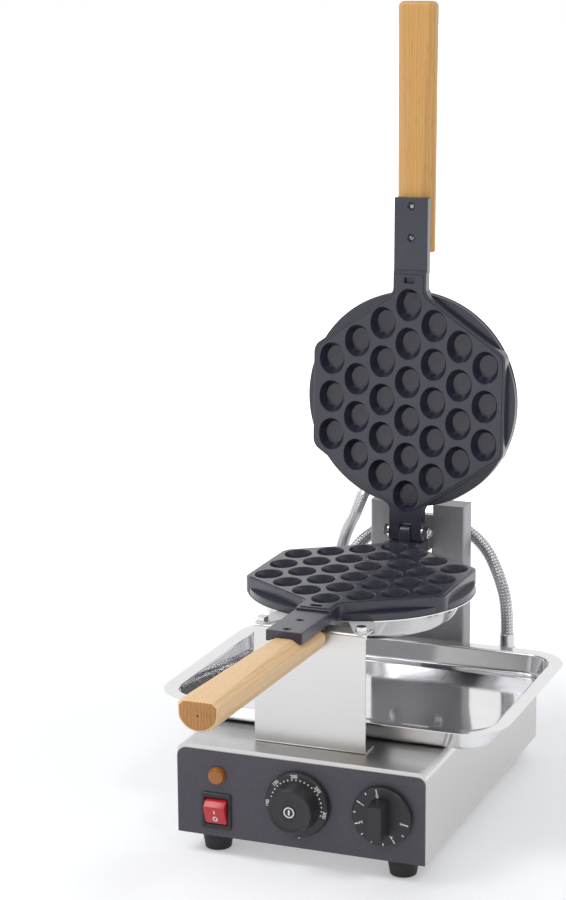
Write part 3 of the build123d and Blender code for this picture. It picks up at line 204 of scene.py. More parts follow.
def circle(wide, long, z, count, middle=(0, 0)):
    turns = [2 * pi * k / count for k in range(count)]
    return [(middle[0] + wide * cos(turn), middle[1] + long * sin(turn), z) for turn in turns]


def turned(profile, segments=96):
    # a profile of (radius, height) turned about z; a radius of 0 closes into a pole
    points, faces, rows = [], [], []
    for radius, height in profile:
        if radius < 1e-9:
            rows.append([len(points)] * segments)
            points.append((0, 0, height))
        else:
            rows.append([len(points) + k for k in range(segments)])
            points += circle(radius, radius, height, segments)
    for low, high in zip(rows, rows[1:]):
        for k in range(segments):
            j = (k + 1) % segments
            corners = [low[k], low[j], high[j], high[k]]
            face = [c for n, c in enumerate(corners) if c not in corners[:n]]
            if len(face) > 2:
                faces.append(tuple(face))
    return points, faces


def extruded(outline, axis, low, high):
    # a flat outline given depth along x, y or z, which are axis 0, 1 and 2
    return ringShell([[(*p[:axis], reach, *p[axis:]) for p in outline] for reach in (low, high)])


def joinShells(*shells):
    points, faces = [], []
    for shellPoints, shellFaces in shells:
        start = len(points)
        points += list(shellPoints)
        faces += [tuple(start + v for v in face) for face in shellFaces]
    return points, faces


def moved(shell, place):
    return [place @ Vector(p) for p in shell[0]], shell[1]


def rounded(corners, steps=6):
    # corners are (x, y, radius) in order; each corner becomes an arc of steps + 1 points
    outline = []
    total = len(corners)
    for n, (x, y, radius) in enumerate(corners):
        here = Vector((x, y))
        before = Vector(corners[n - 1][:2]) - here
        after = Vector(corners[(n + 1) % total][:2]) - here
        before.normalize()
        after.normalize()
        if radius < 1e-6:
            outline += [here.copy() for k in range(steps + 1)]
            continue
        half = before.angle(after) / 2
        reach = radius / tan(half)
        centre = here + (before + after).normalized() * radius / sin(half)
        first = here + before * reach - centre
        sweep = first.angle_signed(here + after * reach - centre)
        for k in range(steps + 1):
            spoke = first.copy()
            spoke.rotate(Matrix.Rotation(-sweep * k / steps, 2))
            outline.append(centre + spoke)
    return outline


def rectangle(wide, long, corner, steps, middle=0.0):
    # half sizes along x and y, and the middle's place along y
    ends = ((1, -1), (1, 1), (-1, 1), (-1, -1))
    return rounded([(x * wide, middle + y * long, corner) for x, y in ends], steps)


def plainMesh(holder):
    # what an object's modifiers or its curve make, as a mesh of its own
    graph = bpy.context.evaluated_depsgraph_get()
    made = bpy.data.meshes.new_from_object(holder.evaluated_get(graph))
    for modifier in list(holder.modifiers):
        holder.modifiers.remove(modifier)
    bpy.data.objects.remove(holder)
    return made


def bevelled(mesh, width, segments=3, angle=30):
    # a finished copy of the mesh with its edges rounded
    holder = held("bevelHolder", mesh)
    edge = holder.modifiers.new("edges", "BEVEL")
    edge.width = width
    edge.segments = segments
    edge.limit_method = "ANGLE"
    edge.angle_limit = radians(angle)
    return plainMesh(holder)


def cutBy(mesh, tool, operation="DIFFERENCE"):
    holder, cutter = held("cutHolder", mesh), held("cutTool", tool)
    cut = holder.modifiers.new("cut", "BOOLEAN")
    cut.operation = operation
    cut.solver = "EXACT"
    cut.object = cutter
    made = plainMesh(holder)
    bpy.data.objects.remove(cutter)
    return made


def weighted(mesh):
    # normals that follow the large faces, so that flat ones stay flat beside a rounded edge
    holder = held("weightedHolder", mesh)
    holder.modifiers.new("weigh", "WEIGHTED_NORMAL").keep_sharp = True
    made = plainMesh(holder)
    made.name = mesh.name
    return made


def mergedMesh(name, meshes):
    work = bmesh.new()
    for mesh in meshes:
        work.from_mesh(mesh)
    made = bpy.data.meshes.new(name)
    work.to_mesh(made)
    work.free()
    return smoothed(made)


def lathe(corners, steps=4, segments=96):
    # corners are (radius, height, rounding) from the foot's middle out and up to the top's middle
    line = rounded([(-1e-6, corners[-1][1], 0), (-1e-6, corners[0][1], 0)] + corners, steps)
    return turned([(max(p.x, 0), p.y) for p in line[2 * (steps + 1):]], segments)


def solidsOf(node):
    # the corners of each closed solid in a CAD node
    work = bmesh.new()
    work.from_mesh(nodes[node].data)
    work.transform(nodes[node].matrix_world)
    bmesh.ops.remove_doubles(work, verts=work.verts, dist=1e-6)
    left, solids = set(work.verts), []
    # in the order of the mesh, so that every run gives the same screws the same turn
    for first in work.verts:
        if first not in left:
            continue
        left.remove(first)
        waiting, solid = [first], [first.co.copy()]
        while waiting:
            for edge in waiting.pop().link_edges:
                for vert in edge.verts:
                    if vert in left:
                        left.remove(vert)
                        waiting.append(vert)
                        solid.append(vert.co.copy())
        solids.append(solid)
    work.free()
    return solids


def softCopy(node, width, segments=2, angle=32):
    # a merged copy of a CAD node with its edges eased
    mesh = nodes[node].data.copy()
    mesh.transform(nodes[node].matrix_world)
    work = bmesh.new()
    work.from_mesh(mesh)
    bmesh.ops.remove_doubles(work, verts=work.verts, dist=1e-6)
    bmesh.ops.dissolve_limit(work, angle_limit=radians(0.6), verts=work.verts, edges=work.edges)
    work.to_mesh(mesh)
    work.free()
    return settle(bevelled(mesh, width, segments, angle), 32, False)


def addPiece(name, mesh, finish, body, slot, *stands):
    piece = held(name, mesh)
    mesh.materials.clear()
    mesh.materials.append(finish)
    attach(piece, body)
    if stands:
        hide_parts(*stands)
    return piece


# node helpers
def newTree(name, kind, inputs, outputs):
    tree = bpy.data.node_groups.new(name, kind)
    face = tree.interface
    for label, content, value in inputs:
        socket = face.new_socket(name=label, in_out="INPUT", socket_type="NodeSocket" + content)
        if value is not None:
            socket.default_value = value
    for label, content in outputs:
        face.new_socket(name=label, in_out="OUTPUT", socket_type="NodeSocket" + content)
    return tree, tree.nodes.new("NodeGroupInput"), tree.nodes.new("NodeGroupOutput")


def feed(tree, socket, value):
    # another node's output, or a plain value
    if isinstance(value, bpy.types.NodeSocket):
        tree.links.new(value, socket)
    else:
        socket.default_value = value


def addNode(tree, kind, settings=None, **inputs):
    node = tree.nodes.new(kind)
    for key, value in (settings or {}).items():
        setattr(node, key, value)
    for label, value in inputs.items():
        feed(tree, node.inputs[label.replace("_", " ")], value)
    return node


def number(tree, operation, *values, clamp=False):
    node = addNode(tree, "ShaderNodeMath", {"operation": operation, "use_clamp": clamp})
    for socket, value in zip(node.inputs, values):
        feed(tree, socket, value)
    return node.outputs[0]


def mixed(tree, factor, first, second, blend="MIX"):
    node = addNode(tree, "ShaderNodeMix", {"data_type": "RGBA", "blend_type": blend}, Factor=factor)
    feed(tree, node.inputs["A"], first)
    feed(tree, node.inputs["B"], second)
    return node.outputs["Result"]


def noise(tree, vector, scale, **more):
    return addNode(tree, "ShaderNodeTexNoise", Vector=vector, Scale=scale, **more).outputs["Fac"]


# effects that several finishes share
def makeFleckGroup():
    # fine cast or moulded texture: a fleck mask for colour, a slow cloud and a height for bump
    tree, start, end = newTree(
        "surfaceFleck", "ShaderNodeTree",
        [("Vector", "Vector", None), ("Fine Scale", "Float", 900.0), ("Cloud Scale", "Float", 22.0),
         ("Contrast", "Float", 0.5)],
        [("Fleck", "Float"), ("Cloud", "Float"), ("Height", "Float")],
    )
    given, made = start.outputs, end.inputs
    fine = noise(tree, given["Vector"], given["Fine Scale"], Detail=2.0)
    cloud = noise(tree, given["Vector"], given["Cloud Scale"], Detail=4.0)
    apart = number(tree, "SUBTRACT", fine, 0.5)
    gain = number(tree, "MULTIPLY", given["Contrast"], 6.0)
    feed(tree, made["Fleck"], number(tree, "MULTIPLY_ADD", apart, gain, 0.5, clamp=True))
    feed(tree, made["Cloud"], cloud)
    feed(tree, made["Height"], fine)
    return tree


def makeBrushGroup():
    # drawn lines of brushed sheet, long along the stretched axis, and slow smudges
    tree, start, end = newTree(
        "brushedLines", "ShaderNodeTree",
        [("Vector", "Vector", None), ("Line Scale", "Float", 60.0), ("Smudge Scale", "Float", 9.0)],
        [("Lines", "Float"), ("Smudge", "Float")],
    )
    given = start.outputs
    lines = noise(tree, given["Vector"], given["Line Scale"], Detail=5.0, Roughness=0.65)
    place = addNode(tree, "ShaderNodeTexCoord").outputs["Object"]
    smudge = noise(tree, place, given["Smudge Scale"], Detail=3.0, Distortion=0.6)
    feed(tree, end.inputs["Lines"], lines)
    feed(tree, end.inputs["Smudge"], smudge)
    return tree


fleckGroup = makeFleckGroup()
brushGroup = makeBrushGroup()


# finishes
def newFinish(name, **plain):
    finish = bpy.data.materials.new(name)
    finish.use_nodes = True
    tree = finish.node_tree
    shader = tree.nodes["Principled BSDF"]
    for label, value in plain.items():
        shader.inputs[label.replace("_", " ")].default_value = value
    return finish, tree, shader


def placedPattern(tree, scale=(1, 1, 1), turn=(0, 0, 0)):
    place = addNode(tree, "ShaderNodeTexCoord").outputs["Object"]
    return addNode(tree, "ShaderNodeMapping", Vector=place, Scale=scale, Rotation=turn).outputs["Vector"]


def ramp(tree, factor, stops):
    node = addNode(tree, "ShaderNodeValToRGB", Fac=factor)
    while len(node.color_ramp.elements) < len(stops):
        node.color_ramp.elements.new(0.5)
    for element, (place, colour) in zip(node.color_ramp.elements, stops):
        element.position = place
        element.color = (*colour, 1)
    return node.outputs["Color"]


def level(tree, factor, low, high, first=0.0, last=1.0, curve="LINEAR"):
    # low where the factor is at first, high where it is at last
    node = addNode(
        tree, "ShaderNodeMapRange", {"interpolation_type": curve},
        Value=factor, From_Min=first, From_Max=last, To_Min=low, To_Max=high,
    )
    return node.outputs["Result"]


def dress(tree, shader, colour, rough, height, strength, depth):
    feed(tree, shader.inputs["Base Color"], colour)
    feed(tree, shader.inputs["Roughness"], rough)
    if depth:
        bump = addNode(tree, "ShaderNodeBump", Strength=strength, Distance=depth, Height=height)
        feed(tree, shader.inputs["Normal"], bump.outputs["Normal"])


def grainedFinish(name, dark, light, rough, fineScale, bumpDepth, contrast=0.5, cloudScale=22.0, **plain):
    # cast, moulded or enamelled surface
    finish, tree, shader = newFinish(name, **plain)
    group = addNode(
        tree, "ShaderNodeGroup", {"node_tree": fleckGroup},
        Vector=placedPattern(tree), Fine_Scale=fineScale, Cloud_Scale=cloudScale, Contrast=contrast,
    )
    colour = ramp(tree, group.outputs["Fleck"], [(0.25, dark), (0.75, light)])
    roughness = level(tree, group.outputs["Cloud"], *rough)
    dress(tree, shader, colour, roughness, group.outputs["Height"], 0.5, bumpDepth)
    return finish


def brushedFinish(name, dark, light, rough, stretch, bumpDepth, lineScale=60.0, metallic=1.0):
    # rolled or drawn metal
    finish, tree, shader = newFinish(name, Metallic=metallic)
    group = addNode(
        tree, "ShaderNodeGroup", {"node_tree": brushGroup},
        Vector=placedPattern(tree, scale=stretch), Line_Scale=lineScale, Smudge_Scale=9.0,
    )
    colour = ramp(tree, group.outputs["Lines"], [(0.3, dark), (0.7, light)])
    roughness = level(tree, group.outputs["Smudge"], *rough)
    dress(tree, shader, colour, roughness, group.outputs["Lines"], 0.35, bumpDepth)
    return finish


def woodFinish(name, turn, colours):
    # straight-grained beech: long growth bands, short dark flecks and pores along the grip
    finish, tree, shader = newFinish(name, Specular_IOR_Level=0.35)
    vector = placedPattern(tree, turn=turn)
    drawn = addNode(tree, "ShaderNodeMapping", Vector=vector, Scale=(1.0, 0.045, 1.0)).outputs["Vector"]
    bands = addNode(
        tree, "ShaderNodeTexWave", {"wave_type": "BANDS", "bands_direction": "X", "wave_profile": "SIN"},
        Vector=drawn, Scale=120.0, Distortion=7.0, Detail=3.0, Detail_Scale=1.4,
    )
    pores = noise(tree, drawn, 1500.0, Detail=2.0, Roughness=0.5)
    cloud = noise(tree, drawn, 38.0, Detail=3.0)
    colour = ramp(tree, bands.outputs["Fac"], list(zip((0.0, 0.5, 1.0), colours)))
    cloudColour = ramp(tree, cloud, [(0.3, (0.90, 0.86, 0.80)), (0.7, (1.0, 1.0, 1.0))])
    poreColour = ramp(tree, pores, [(0.30, (0.74, 0.64, 0.52)), (0.42, (1.0, 1.0, 1.0))])
    colour = mixed(tree, 0.8, colour, cloudColour, "MULTIPLY")
    colour = mixed(tree, 0.55, colour, poreColour, "MULTIPLY")
    dress(tree, shader, colour, level(tree, cloud, 0.36, 0.50), pores, 0.25, 0.00015)
    return finish


def enamelFinish(name, colour, rough=0.3, **plain):
    dark, light = tuple(0.92 * c for c in colour), tuple(min(1.0, 1.06 * c) for c in colour)
    return grainedFinish(
        name, dark, light, (rough - 0.05, rough + 0.06), 1400.0, 0.00002, 0.35, **plain
    )


# how far a brushed pattern is drawn out along each axis
evenly = (1.0, 1.0, 1.0)
alongX = (0.03, 1.0, 1.0)
alongZ = (1.0, 1.0, 0.03)
castCoating = grainedFinish(
    "nonStickCoating", (0.024, 0.0245, 0.041), (0.034, 0.0345, 0.056), (0.27, 0.36), 1500.0, 0.00003,
    0.6, 16.0, Coat_Weight=0.25, Coat_Roughness=0.12,
)
# the lower grip is the same beech as the upper one, painted lighter for the light that falls on its top
lowerWoodPaintedLight = woodFinish(
    "beechLowerPaintedLight", (0, 0, 0), [(0.92, 0.62, 0.33), (0.95, 0.67, 0.38), (0.97, 0.70, 0.42)]
)
upperWood = woodFinish(
    "beechUpper", (pan["openAngle"], 0, 0), [(0.72, 0.40, 0.13), (0.76, 0.43, 0.15), (0.80, 0.46, 0.17)]
)
endWood = woodFinish("beechEnd", (0, 0, 0), [(0.50, 0.24, 0.085), (0.57, 0.29, 0.10), (0.60, 0.32, 0.12)])
brushedAcross = brushedFinish(
    "brushedSheetAcross", (0.655, 0.645, 0.63), (0.685, 0.675, 0.66), (0.32, 0.38), alongX, 0.000004, 1100.0
)
# the same steel brushed upright for the column and hinge support; its colour, darker than the cabinet's
# steel, is painted shade
brushedUpPaintedShade = brushedFinish(
    "brushedSheetUpPaintedShade", (0.35, 0.345, 0.36), (0.39, 0.385, 0.40), (0.46, 0.54), alongZ, 0.000006, 1100.0, 0.55
)
polished = brushedFinish(
    "polishedSheet", (0.75, 0.75, 0.76), (0.79, 0.79, 0.80), (0.06, 0.11), evenly, 0.0, 30.0
)
zinc = brushedFinish(
    "zincFastener", (0.62, 0.62, 0.63), (0.74, 0.74, 0.75), (0.16, 0.28), evenly, 0.00001, 700.0
)
panelInk = grainedFinish(
    "darkPanelEnamel", (0.066, 0.060, 0.078), (0.084, 0.077, 0.098), (0.34, 0.44), 1300.0, 0.00002,
    0.35, 9.0,
)
knobBlack = grainedFinish(
    "knobMoulding", (0.020, 0.020, 0.023), (0.030, 0.030, 0.034), (0.34, 0.46), 1800.0, 0.00003,
    0.45, 40.0,
)
blackPlastic = grainedFinish(
    "switchMoulding", (0.014, 0.014, 0.015), (0.022, 0.022, 0.024), (0.30, 0.42), 1800.0, 0.00003,
    0.45, 40.0,
)
footRubber = grainedFinish(
    "footRubber", (0.012, 0.012, 0.013), (0.021, 0.021, 0.023), (0.50, 0.66), 1300.0, 0.00006, 0.6, 60.0
)
rockerRed = enamelFinish("rockerRed", (0.62, 0.022, 0.035), 0.28, Coat_Weight=0.2)
lampAmber = enamelFinish(
    "lampAmber", (0.52, 0.165, 0.010), 0.14, Transmission_Weight=0.2, Coat_Weight=0.5, IOR=1.49
)
markInk = enamelFinish("whiteMarking", (0.86, 0.86, 0.86), 0.45)
elementSteel = brushedFinish(
    "elementSteel", (0.20, 0.18, 0.17), (0.30, 0.27, 0.25), (0.35, 0.5), evenly, 0.00002, 500.0
)
braidSteel = brushedFinish(
    "braidSteel", (0.66, 0.66, 0.67), (0.80, 0.80, 0.81), (0.20, 0.30), evenly, 0.00001, 900.0
)
terminalWhite = enamelFinish("terminalWhite", (0.72, 0.71, 0.68), 0.5)
lugSteel = brushedFinish(
    "lugSteel", (0.70, 0.70, 0.70), (0.80, 0.80, 0.80), (0.42, 0.50), evenly, 0.000006, 700.0, 0.45
)


def shadeBraid(finish):
    # painted shade: darker in the gaps between the strands, and on the strands that cross the other way,
    # for the less light they catch
    tree = finish.node_tree
    base = tree.nodes["Principled BSDF"].inputs["Base Color"]
    strand = addNode(tree, "ShaderNodeAttribute", {"attribute_name": "strandPaintedShade"})
    # the painted shade in the gaps, from the strand height carried on each point
    gaps = ramp(tree, strand.outputs["Fac"], [(0.25, (0.34, 0.34, 0.35)), (0.72, (1.0, 1.0, 1.0))])
    feed(tree, base, mixed(tree, 1.0, base.links[0].from_socket, gaps, "MULTIPLY"))


shadeBraid(braidSteel)
print("finishes made")


# hoses
hose = {
    "diameter": 11.5 * mm,
    "carriers": 12,           # strands each way
    "around": 108,            # points in a ring
    "pitch": 34.0 * mm,
    "crossPaintedShade": 0.52,       # painted shade on the strands that run the other way, which catch less light
    "relief": 0.55 * mm,
    "step": 0.42 * mm,        # between rings
    "pathStep": 6,            # rings between the points that the cord is told
}
# routes, in metres, from each plate's fitting to the cabinet's fitting
lowerRoute = [
    (-0.0499, 0.1704, 0.1774), (-0.0630, 0.1939, 0.1642), (-0.069, 0.2263, 0.173), (-0.057, 0.2513, 0.194),
    (-0.031, 0.2653, 0.207), (0.0, 0.2703, 0.211), (0.030, 0.2683, 0.206), (0.054, 0.2623, 0.191),
    (0.070, 0.2523, 0.168), (0.080, 0.2462, 0.143), (0.080, 0.2462, 0.116),
]
lidRoute = [
    (-0.0499, 0.2266, 0.2422), (-0.0586, 0.2348, 0.2261), (-0.067, 0.2513, 0.214), (-0.077, 0.2643, 0.201),
    (-0.085, 0.2673, 0.183), (-0.087, 0.2613, 0.163), (-0.083, 0.2503, 0.146), (-0.080, 0.2462, 0.131),
    (-0.080, 0.2462, 0.116),
]


def smoothLine(route, step):
    curve = bpy.data.curves.new("routeCurve", "CURVE")
    curve.dimensions = "3D"
    curve.resolution_u = 40
    spline = curve.splines.new("NURBS")
    spline.points.add(len(route) - 1)
    for point, place in zip(spline.points, route):
        point.co = (*place, 1)
    spline.order_u = 3
    spline.use_endpoint_u = True
    mesh = plainMesh(held("routeHolder", curve))
    raw = [v.co.copy() for v in mesh.vertices]
    bpy.data.meshes.remove(mesh)
    lengths = [0.0]
    for a, b in zip(raw, raw[1:]):
        lengths.append(lengths[-1] + (b - a).length)
    count = ceil(lengths[-1] / step)
    line, at = [], 0
    for n in range(count + 1):
        want = lengths[-1] * n / count
        while at < len(raw) - 2 and lengths[at + 1] < want:
            at += 1
        share = (want - lengths[at]) / (lengths[at + 1] - lengths[at])
        line.append(raw[at].lerp(raw[at + 1], share))
    return line, lengths[-1]


def strandHeight(along, across):
    # crown of a strand that passes over and under its neighbours
    crown = abs(cos(pi * along))
    lift = cos(pi * across + pi * floor(along + 0.5))
    return sqrt(crown) * (0.62 + 0.38 * lift)


def braidedTube(name, line, size):
    around, carriers = size["around"], size["carriers"]
    radius = size["diameter"] / 2 - size["relief"]
    tangent = (line[1] - line[0]).normalized()
    side = tangent.orthogonal().normalized()
    rings, paintedShades, walked = [], [], 0.0
    for n, point in enumerate(line):
        ahead = line[min(n + 1, len(line) - 1)] - line[max(n - 1, 0)]
        tangent = ahead.normalized()
        side = (side - tangent * side.dot(tangent)).normalized()
        other = tangent.cross(side)
        if n:
            walked += (point - line[n - 1]).length
        ring = []
        for k in range(around):
            share = k / around
            first = carriers * share + walked / size["pitch"] * carriers
            second = carriers * share - walked / size["pitch"] * carriers
            over, under = strandHeight(first, second), strandHeight(second, first + 1)
            height = max(over, under)
            # painted shade of each point: low where the strands dip into the gaps, lower again on the
            # strands that cross under
            paintedShades.append(height if over > under else height * size["crossPaintedShade"])
            reach = radius + size["relief"] * height
            ring.append(point + side * reach * cos(2 * pi * share) + other * reach * sin(2 * pi * share))
        rings.append(ring)
    points, faces = ringShell(rings)
    mesh = bpy.data.meshes.new(name)
    mesh.from_pydata(points, [], faces)
    mesh.attributes.new("strandPaintedShade", "FLOAT", "POINT").data.foreach_set("value", paintedShades)
    return settle(mesh, 80)


def makeHose(name, route, body, node):
    line, length = smoothLine(route, hose["step"])
    piece = held(name, braidedTube(name, line, hose))
    piece.data.materials.append(braidSteel)
    if body == "lid":
        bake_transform(piece)
    else:
        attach(piece, body)
    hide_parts(node)
    print(name, "length", round(length / mm, 1), "mm")


makeHose("lowerHose", lowerRoute, "base", "lower_hose")
makeHose("lidHose", lidRoute, "lid", "lid_hose")


# cast plates
cast = {
    "steps": 8,               # points in each rounded corner
    "ovalPoints": 56,
    "cavityHalfWidth": 11.5,
    "cavityHalfLength": 14.0,
    "lipRound": 0.6,          # radius of the cavity's lip
    "depth": 10.5,
    "footInset": 3.1,
    "footDepth": 9.6,
    "footRound": 1.3,
    "edgeRound": 0.8,
    "rebateInset": 2.2,
    "raisedEnd": 11.0,        # rounding of the raised face beside the hinge
    "rebateDepth": 0.8,
    "raisedShort": 0.9,       # the raised face stops this far before the neck's end
    "raisedRows": ((0, -0.25), (0, 0), (0.65, 0.1), (0.88, 0.22), (0.97, 0.38), (1.0, 0.6), (1.0, 0.9)),
    "underRows": ((1.2, 0), (0.25, 0.35), (0, 1.2)),     # (inset, rise) of the lower edge
    "slotHalf": (4.8, 2.4),   # the slot ahead of the grip
    "slotAhead": 8.5,
    "slotCorner": 1.2,
    "slotRows": ((-0.6, 0), (-0.5, 0), (-0.1, 0.15), (0, 0.5), (0, 4.0)),
    "skirtBite": 3.0,         # how far the skirt reaches under the hexagon
    "skirtPoints": 240,
    "earRadius": 8.4,
    "earHeel": 5.0,
    "earCorner": 2.8,
    "earEdge": 0.8,
    "earRoot": 21.0,          # how far the ears run into the neck
    "knuckleWidth": 10.0,
    "knuckleRadius": 6.5,
    "knuckleLean": 0.35,
    "knuckleEdge": 0.7,
    "neckEdge": 0.6 * mm,
    "slotGap": 1.8,
    "sideGap": 0.5,
}


def hexagonCorners(inset, front, rear):
    # the six sides moved in by inset, with the two necks; each corner has its radius
    width, flat, length = pan["halfWidth"], pan["sideFlat"] / 2, pan["halfLength"]
    slope = (length - flat) / width
    fall = inset * sqrt(1 + slope * slope)
    wide = width - inset
    corner = (wide, length - fall - slope * wide)
    neck = pan["neckWidth"] / 2 - inset
    join = (neck, length - fall - slope * neck)
    tight = max(pan["corner"] - inset, 0.5)
    loose = pan["neckFlare"] + inset
    right = []
    if front:
        right += [(neck, -front + inset, 1.2), (join[0], -join[1], loose)]
    right += [(corner[0], -corner[1], tight), (corner[0], corner[1], tight)]
    middle = []
    if rear:
        right += [(join[0], join[1], loose), (neck, rear - inset, 1.2)]
    else:
        middle = [(0, length - fall, cast["raisedEnd"])]
    left = [(-x, y, r) for x, y, r in reversed(right)]
    return right + middle + left


def plateRing(inset, front, rear, z):
    flat = rounded(hexagonCorners(inset, front, rear), cast["steps"])
    if callable(z):
        return [(p.x, p.y, z(p)) for p in flat]
    return [(p.x, p.y, z) for p in flat]


def cavityRows():
    # (inset from the oval, depth) from the flat face to the floor: rounded lip, steep wall, tight foot
    lip, depth = cast["lipRound"], cast["depth"]
    rows = [(-lip - 0.25, 0.0)]
    for k in range(6):
        turn = radians(78) * k / 5
        rows.append((-lip + lip * sin(turn), lip * (1 - cos(turn))))
    lean = cast["footInset"] / cast["footDepth"]
    for drop in (0.35, 0.75, 1.0):
        low = rows[6][1] + (cast["footDepth"] - rows[6][1]) * drop
        rows.append((lean * low, low))
    # the last of the wall bends tightly into the floor
    first, last = rows[-1], (cast["footInset"] + cast["footRound"] * 1.4, depth)
    bend = (cast["footInset"] + lean * (depth - first[1]), depth)
    for k in range(1, 7):
        t = k / 6
        rows.append(tuple(
            a * (1 - t) ** 2 + 2 * b * t * (1 - t) + c * t * t for a, b, c in zip(first, bend, last)
        ))
    rows.append((last[0] + 0.5, depth))
    return rows


def ovalRing(centre, inset, depth):
    wide, long = cast["cavityHalfWidth"] - inset, cast["cavityHalfLength"] - inset
    return circle(wide, long, -depth, cast["ovalPoints"], centre)


def slotRing(inset, depth):
    wide, long = cast["slotHalf"]
    corner = max(cast["slotCorner"] - inset, 0.3)
    outline = rectangle(wide - inset, long - inset, corner, 5, -pan["neckReach"] + cast["slotAhead"])
    return [(p.x, p.y, -depth) for p in outline]


def isInside(x, y, loop):
    hit = False
    for (x1, y1, _), (x2, y2, _) in zip(loop, loop[1:] + loop[:1]):
        if (y1 > y) != (y2 > y) and x < (x2 - x1) * (y - y1) / (y2 - y1) + x1:
            hit = not hit
    return hit


def flatWithHoles(outer, holes):
    # the flat cooking face between the outline and the mouths of the cavities
    points, edges = [], []
    for loop in [outer] + holes:
        start = len(points)
        points += [Vector((p[0], p[1])) for p in loop]
        edges += [(start + k, start + (k + 1) % len(loop)) for k in range(len(loop))]
    result = delaunay_2d_cdt(points, edges, [], 0, 1e-6)
    flat, faces, reach = result[0], [], []
    for hole in holes:
        across, along = [p[0] for p in hole], [p[1] for p in hole]
        reach.append((min(across), max(across), min(along), max(along)))
    for face in result[2]:
        middle = sum((flat[v] for v in face), Vector((0, 0))) / len(face)
        covered = any(
            low < middle.x < high and near < middle.y < far and isInside(middle.x, middle.y, hole)
            for (low, high, near, far), hole in zip(reach, holes)
        )
        if not covered and isInside(middle.x, middle.y, outer):
            faces.append(tuple(face))
    return [(p.x, p.y, outer[0][2]) for p in flat], faces


def plateShell(front, rear):
    thick, edge = pan["thickness"], cast["edgeRound"]
    step, fall = cast["rebateInset"], cast["rebateDepth"]

    def under(extra):
        # the necks are thinner than the plate
        def height(p):
            reach = (abs(p.y) - pan["skirtRadius"]) / 4
            return -thick + extra + (thick - pan["neckDepth"]) * min(max(reach, 0), 1)
        return height

    rings = [plateRing(inset, front, rear, under(rise)) for inset, rise in cast["underRows"]]
    for k in range(5):
        turn = pi / 2 * k / 4
        rings.append(plateRing(edge * (1 - cos(turn)), front, rear, -fall - edge * (1 - sin(turn))))
    rings.append(plateRing(edge + 0.3, front, rear, -fall))
    body = ringShell(rings, capLast=False)
    # the raised cooking face runs out along the front neck and closes round the last cavity at the hinge
    ahead = front - cast["raisedShort"]
    raised = []
    for rise, extra in cast["raisedRows"]:
        raised.append(plateRing(step + extra, ahead, None, -fall * (1 - rise)))
    ledge = flatWithHoles(rings[-1], [raised[0]])
    stepUp = ringShell(raised, capFirst=False, capLast=False)
    pockets = []
    columns = pan["sideColumns"]
    for column in range(-columns, columns + 1):
        rows = pan["middleCount"] - abs(column)
        for row in range(rows):
            centre = (column * pan["columnPitch"], (row - (rows - 1) / 2) * pan["rowPitch"])
            pockets.append([ovalRing(centre, inset, depth) for inset, depth in cavityRows()])
    pockets.append([slotRing(inset, depth) for inset, depth in cast["slotRows"]])
    face = flatWithHoles(raised[-1], [rings[0] for rings in pockets])
    return joinShells(body, ledge, stepUp, face, *(ringShell(rings, capFirst=False) for rings in pockets))


def skirtShell():
    # round foot of the casting: a ring from under the hexagon out to its own radius
    bite, radius, edge = cast["skirtBite"], pan["skirtRadius"], 0.7
    low, high = -pan["thickness"], -pan["thickness"] + pan["skirtHeight"]
    width, flat, length = pan["halfWidth"], pan["sideFlat"] / 2, pan["halfLength"]
    slope = sqrt((length - flat) ** 2 + width * width)
    slant = length * width / slope - bite

    def inner(turn):
        across, along = abs(cos(turn)), abs(sin(turn))
        away = slant / (across * (length - flat) / slope + along * width / slope)
        return min(away, (width - bite) / max(across, 1e-6), radius - 2)

    profile = [("in", low), ("in", high), (radius - edge, high)]
    for k in range(1, 5):
        turn = pi / 2 * k / 4
        profile.append((radius - edge * (1 - sin(turn)), high - edge * (1 - cos(turn))))
    profile += [(radius, low + 0.3), (radius - 0.3, low)]
    turns = [2 * pi * k / cast["skirtPoints"] for k in range(cast["skirtPoints"])]
    rings = []
    for reach, z in profile:
        reaches = [inner(turn) if reach == "in" else reach for turn in turns]
        rings.append([(r * cos(turn), r * sin(turn), z) for r, turn in zip(reaches, turns)])
    return ringShell(rings, closed=True)


def arcPoints(centre, radius, first, last, steps=14):
    turns = [first + (last - first) * k / steps for k in range(steps + 1)]
    return [(centre[0] + radius * cos(turn), centre[1] + radius * sin(turn)) for turn in turns]


def earOutline():
    # level with the cooking face, round below, with a square heel that stops the lid
    axis = (pan["hingeReach"], pan["closedGap"] - pan["hingeRise"])
    radius, heel, root = cast["earRadius"], cast["earHeel"], cast["earRoot"]
    face = -cast["rebateDepth"] - 0.003
    lift = face - axis[1]
    top = atan2(lift, sqrt(radius ** 2 - lift ** 2))
    under = pan["neckDepth"] + axis[1]
    bottom = -pi + atan2(under, sqrt(radius ** 2 - under ** 2))
    foot = -atan2(heel, sqrt(radius ** 2 - heel ** 2))
    outline = [(axis[0] - root, face)] + arcPoints(axis, radius, top, 0, 8)
    outline += [(axis[0] + radius, axis[1] - heel)] + arcPoints(axis, radius, foot, bottom)
    return outline + [(axis[0] - root, -pan["neckDepth"])]


def earMesh(side, place):
    low, high = sorted((side * earInner, side * halfNeck))
    ear = meshOf("ear", *extruded(earOutline(), 0, low, high))
    # seen from above, both ears together have rounded corners at the rear
    start, rear, corner = 60, pan["hingeReach"] + cast["earRadius"], cast["earCorner"]
    plan = rounded([
        (-halfNeck, start, 0), (halfNeck, start, 0), (halfNeck, rear, corner), (-halfNeck, rear, corner)
    ], 8)
    prism = meshOf("earPlan", *extruded(plan, 2, -30, 30))
    made = bevelled(cutBy(ear, prism, "INTERSECT"), cast["earEdge"])
    made.transform(place)
    return settle(made)


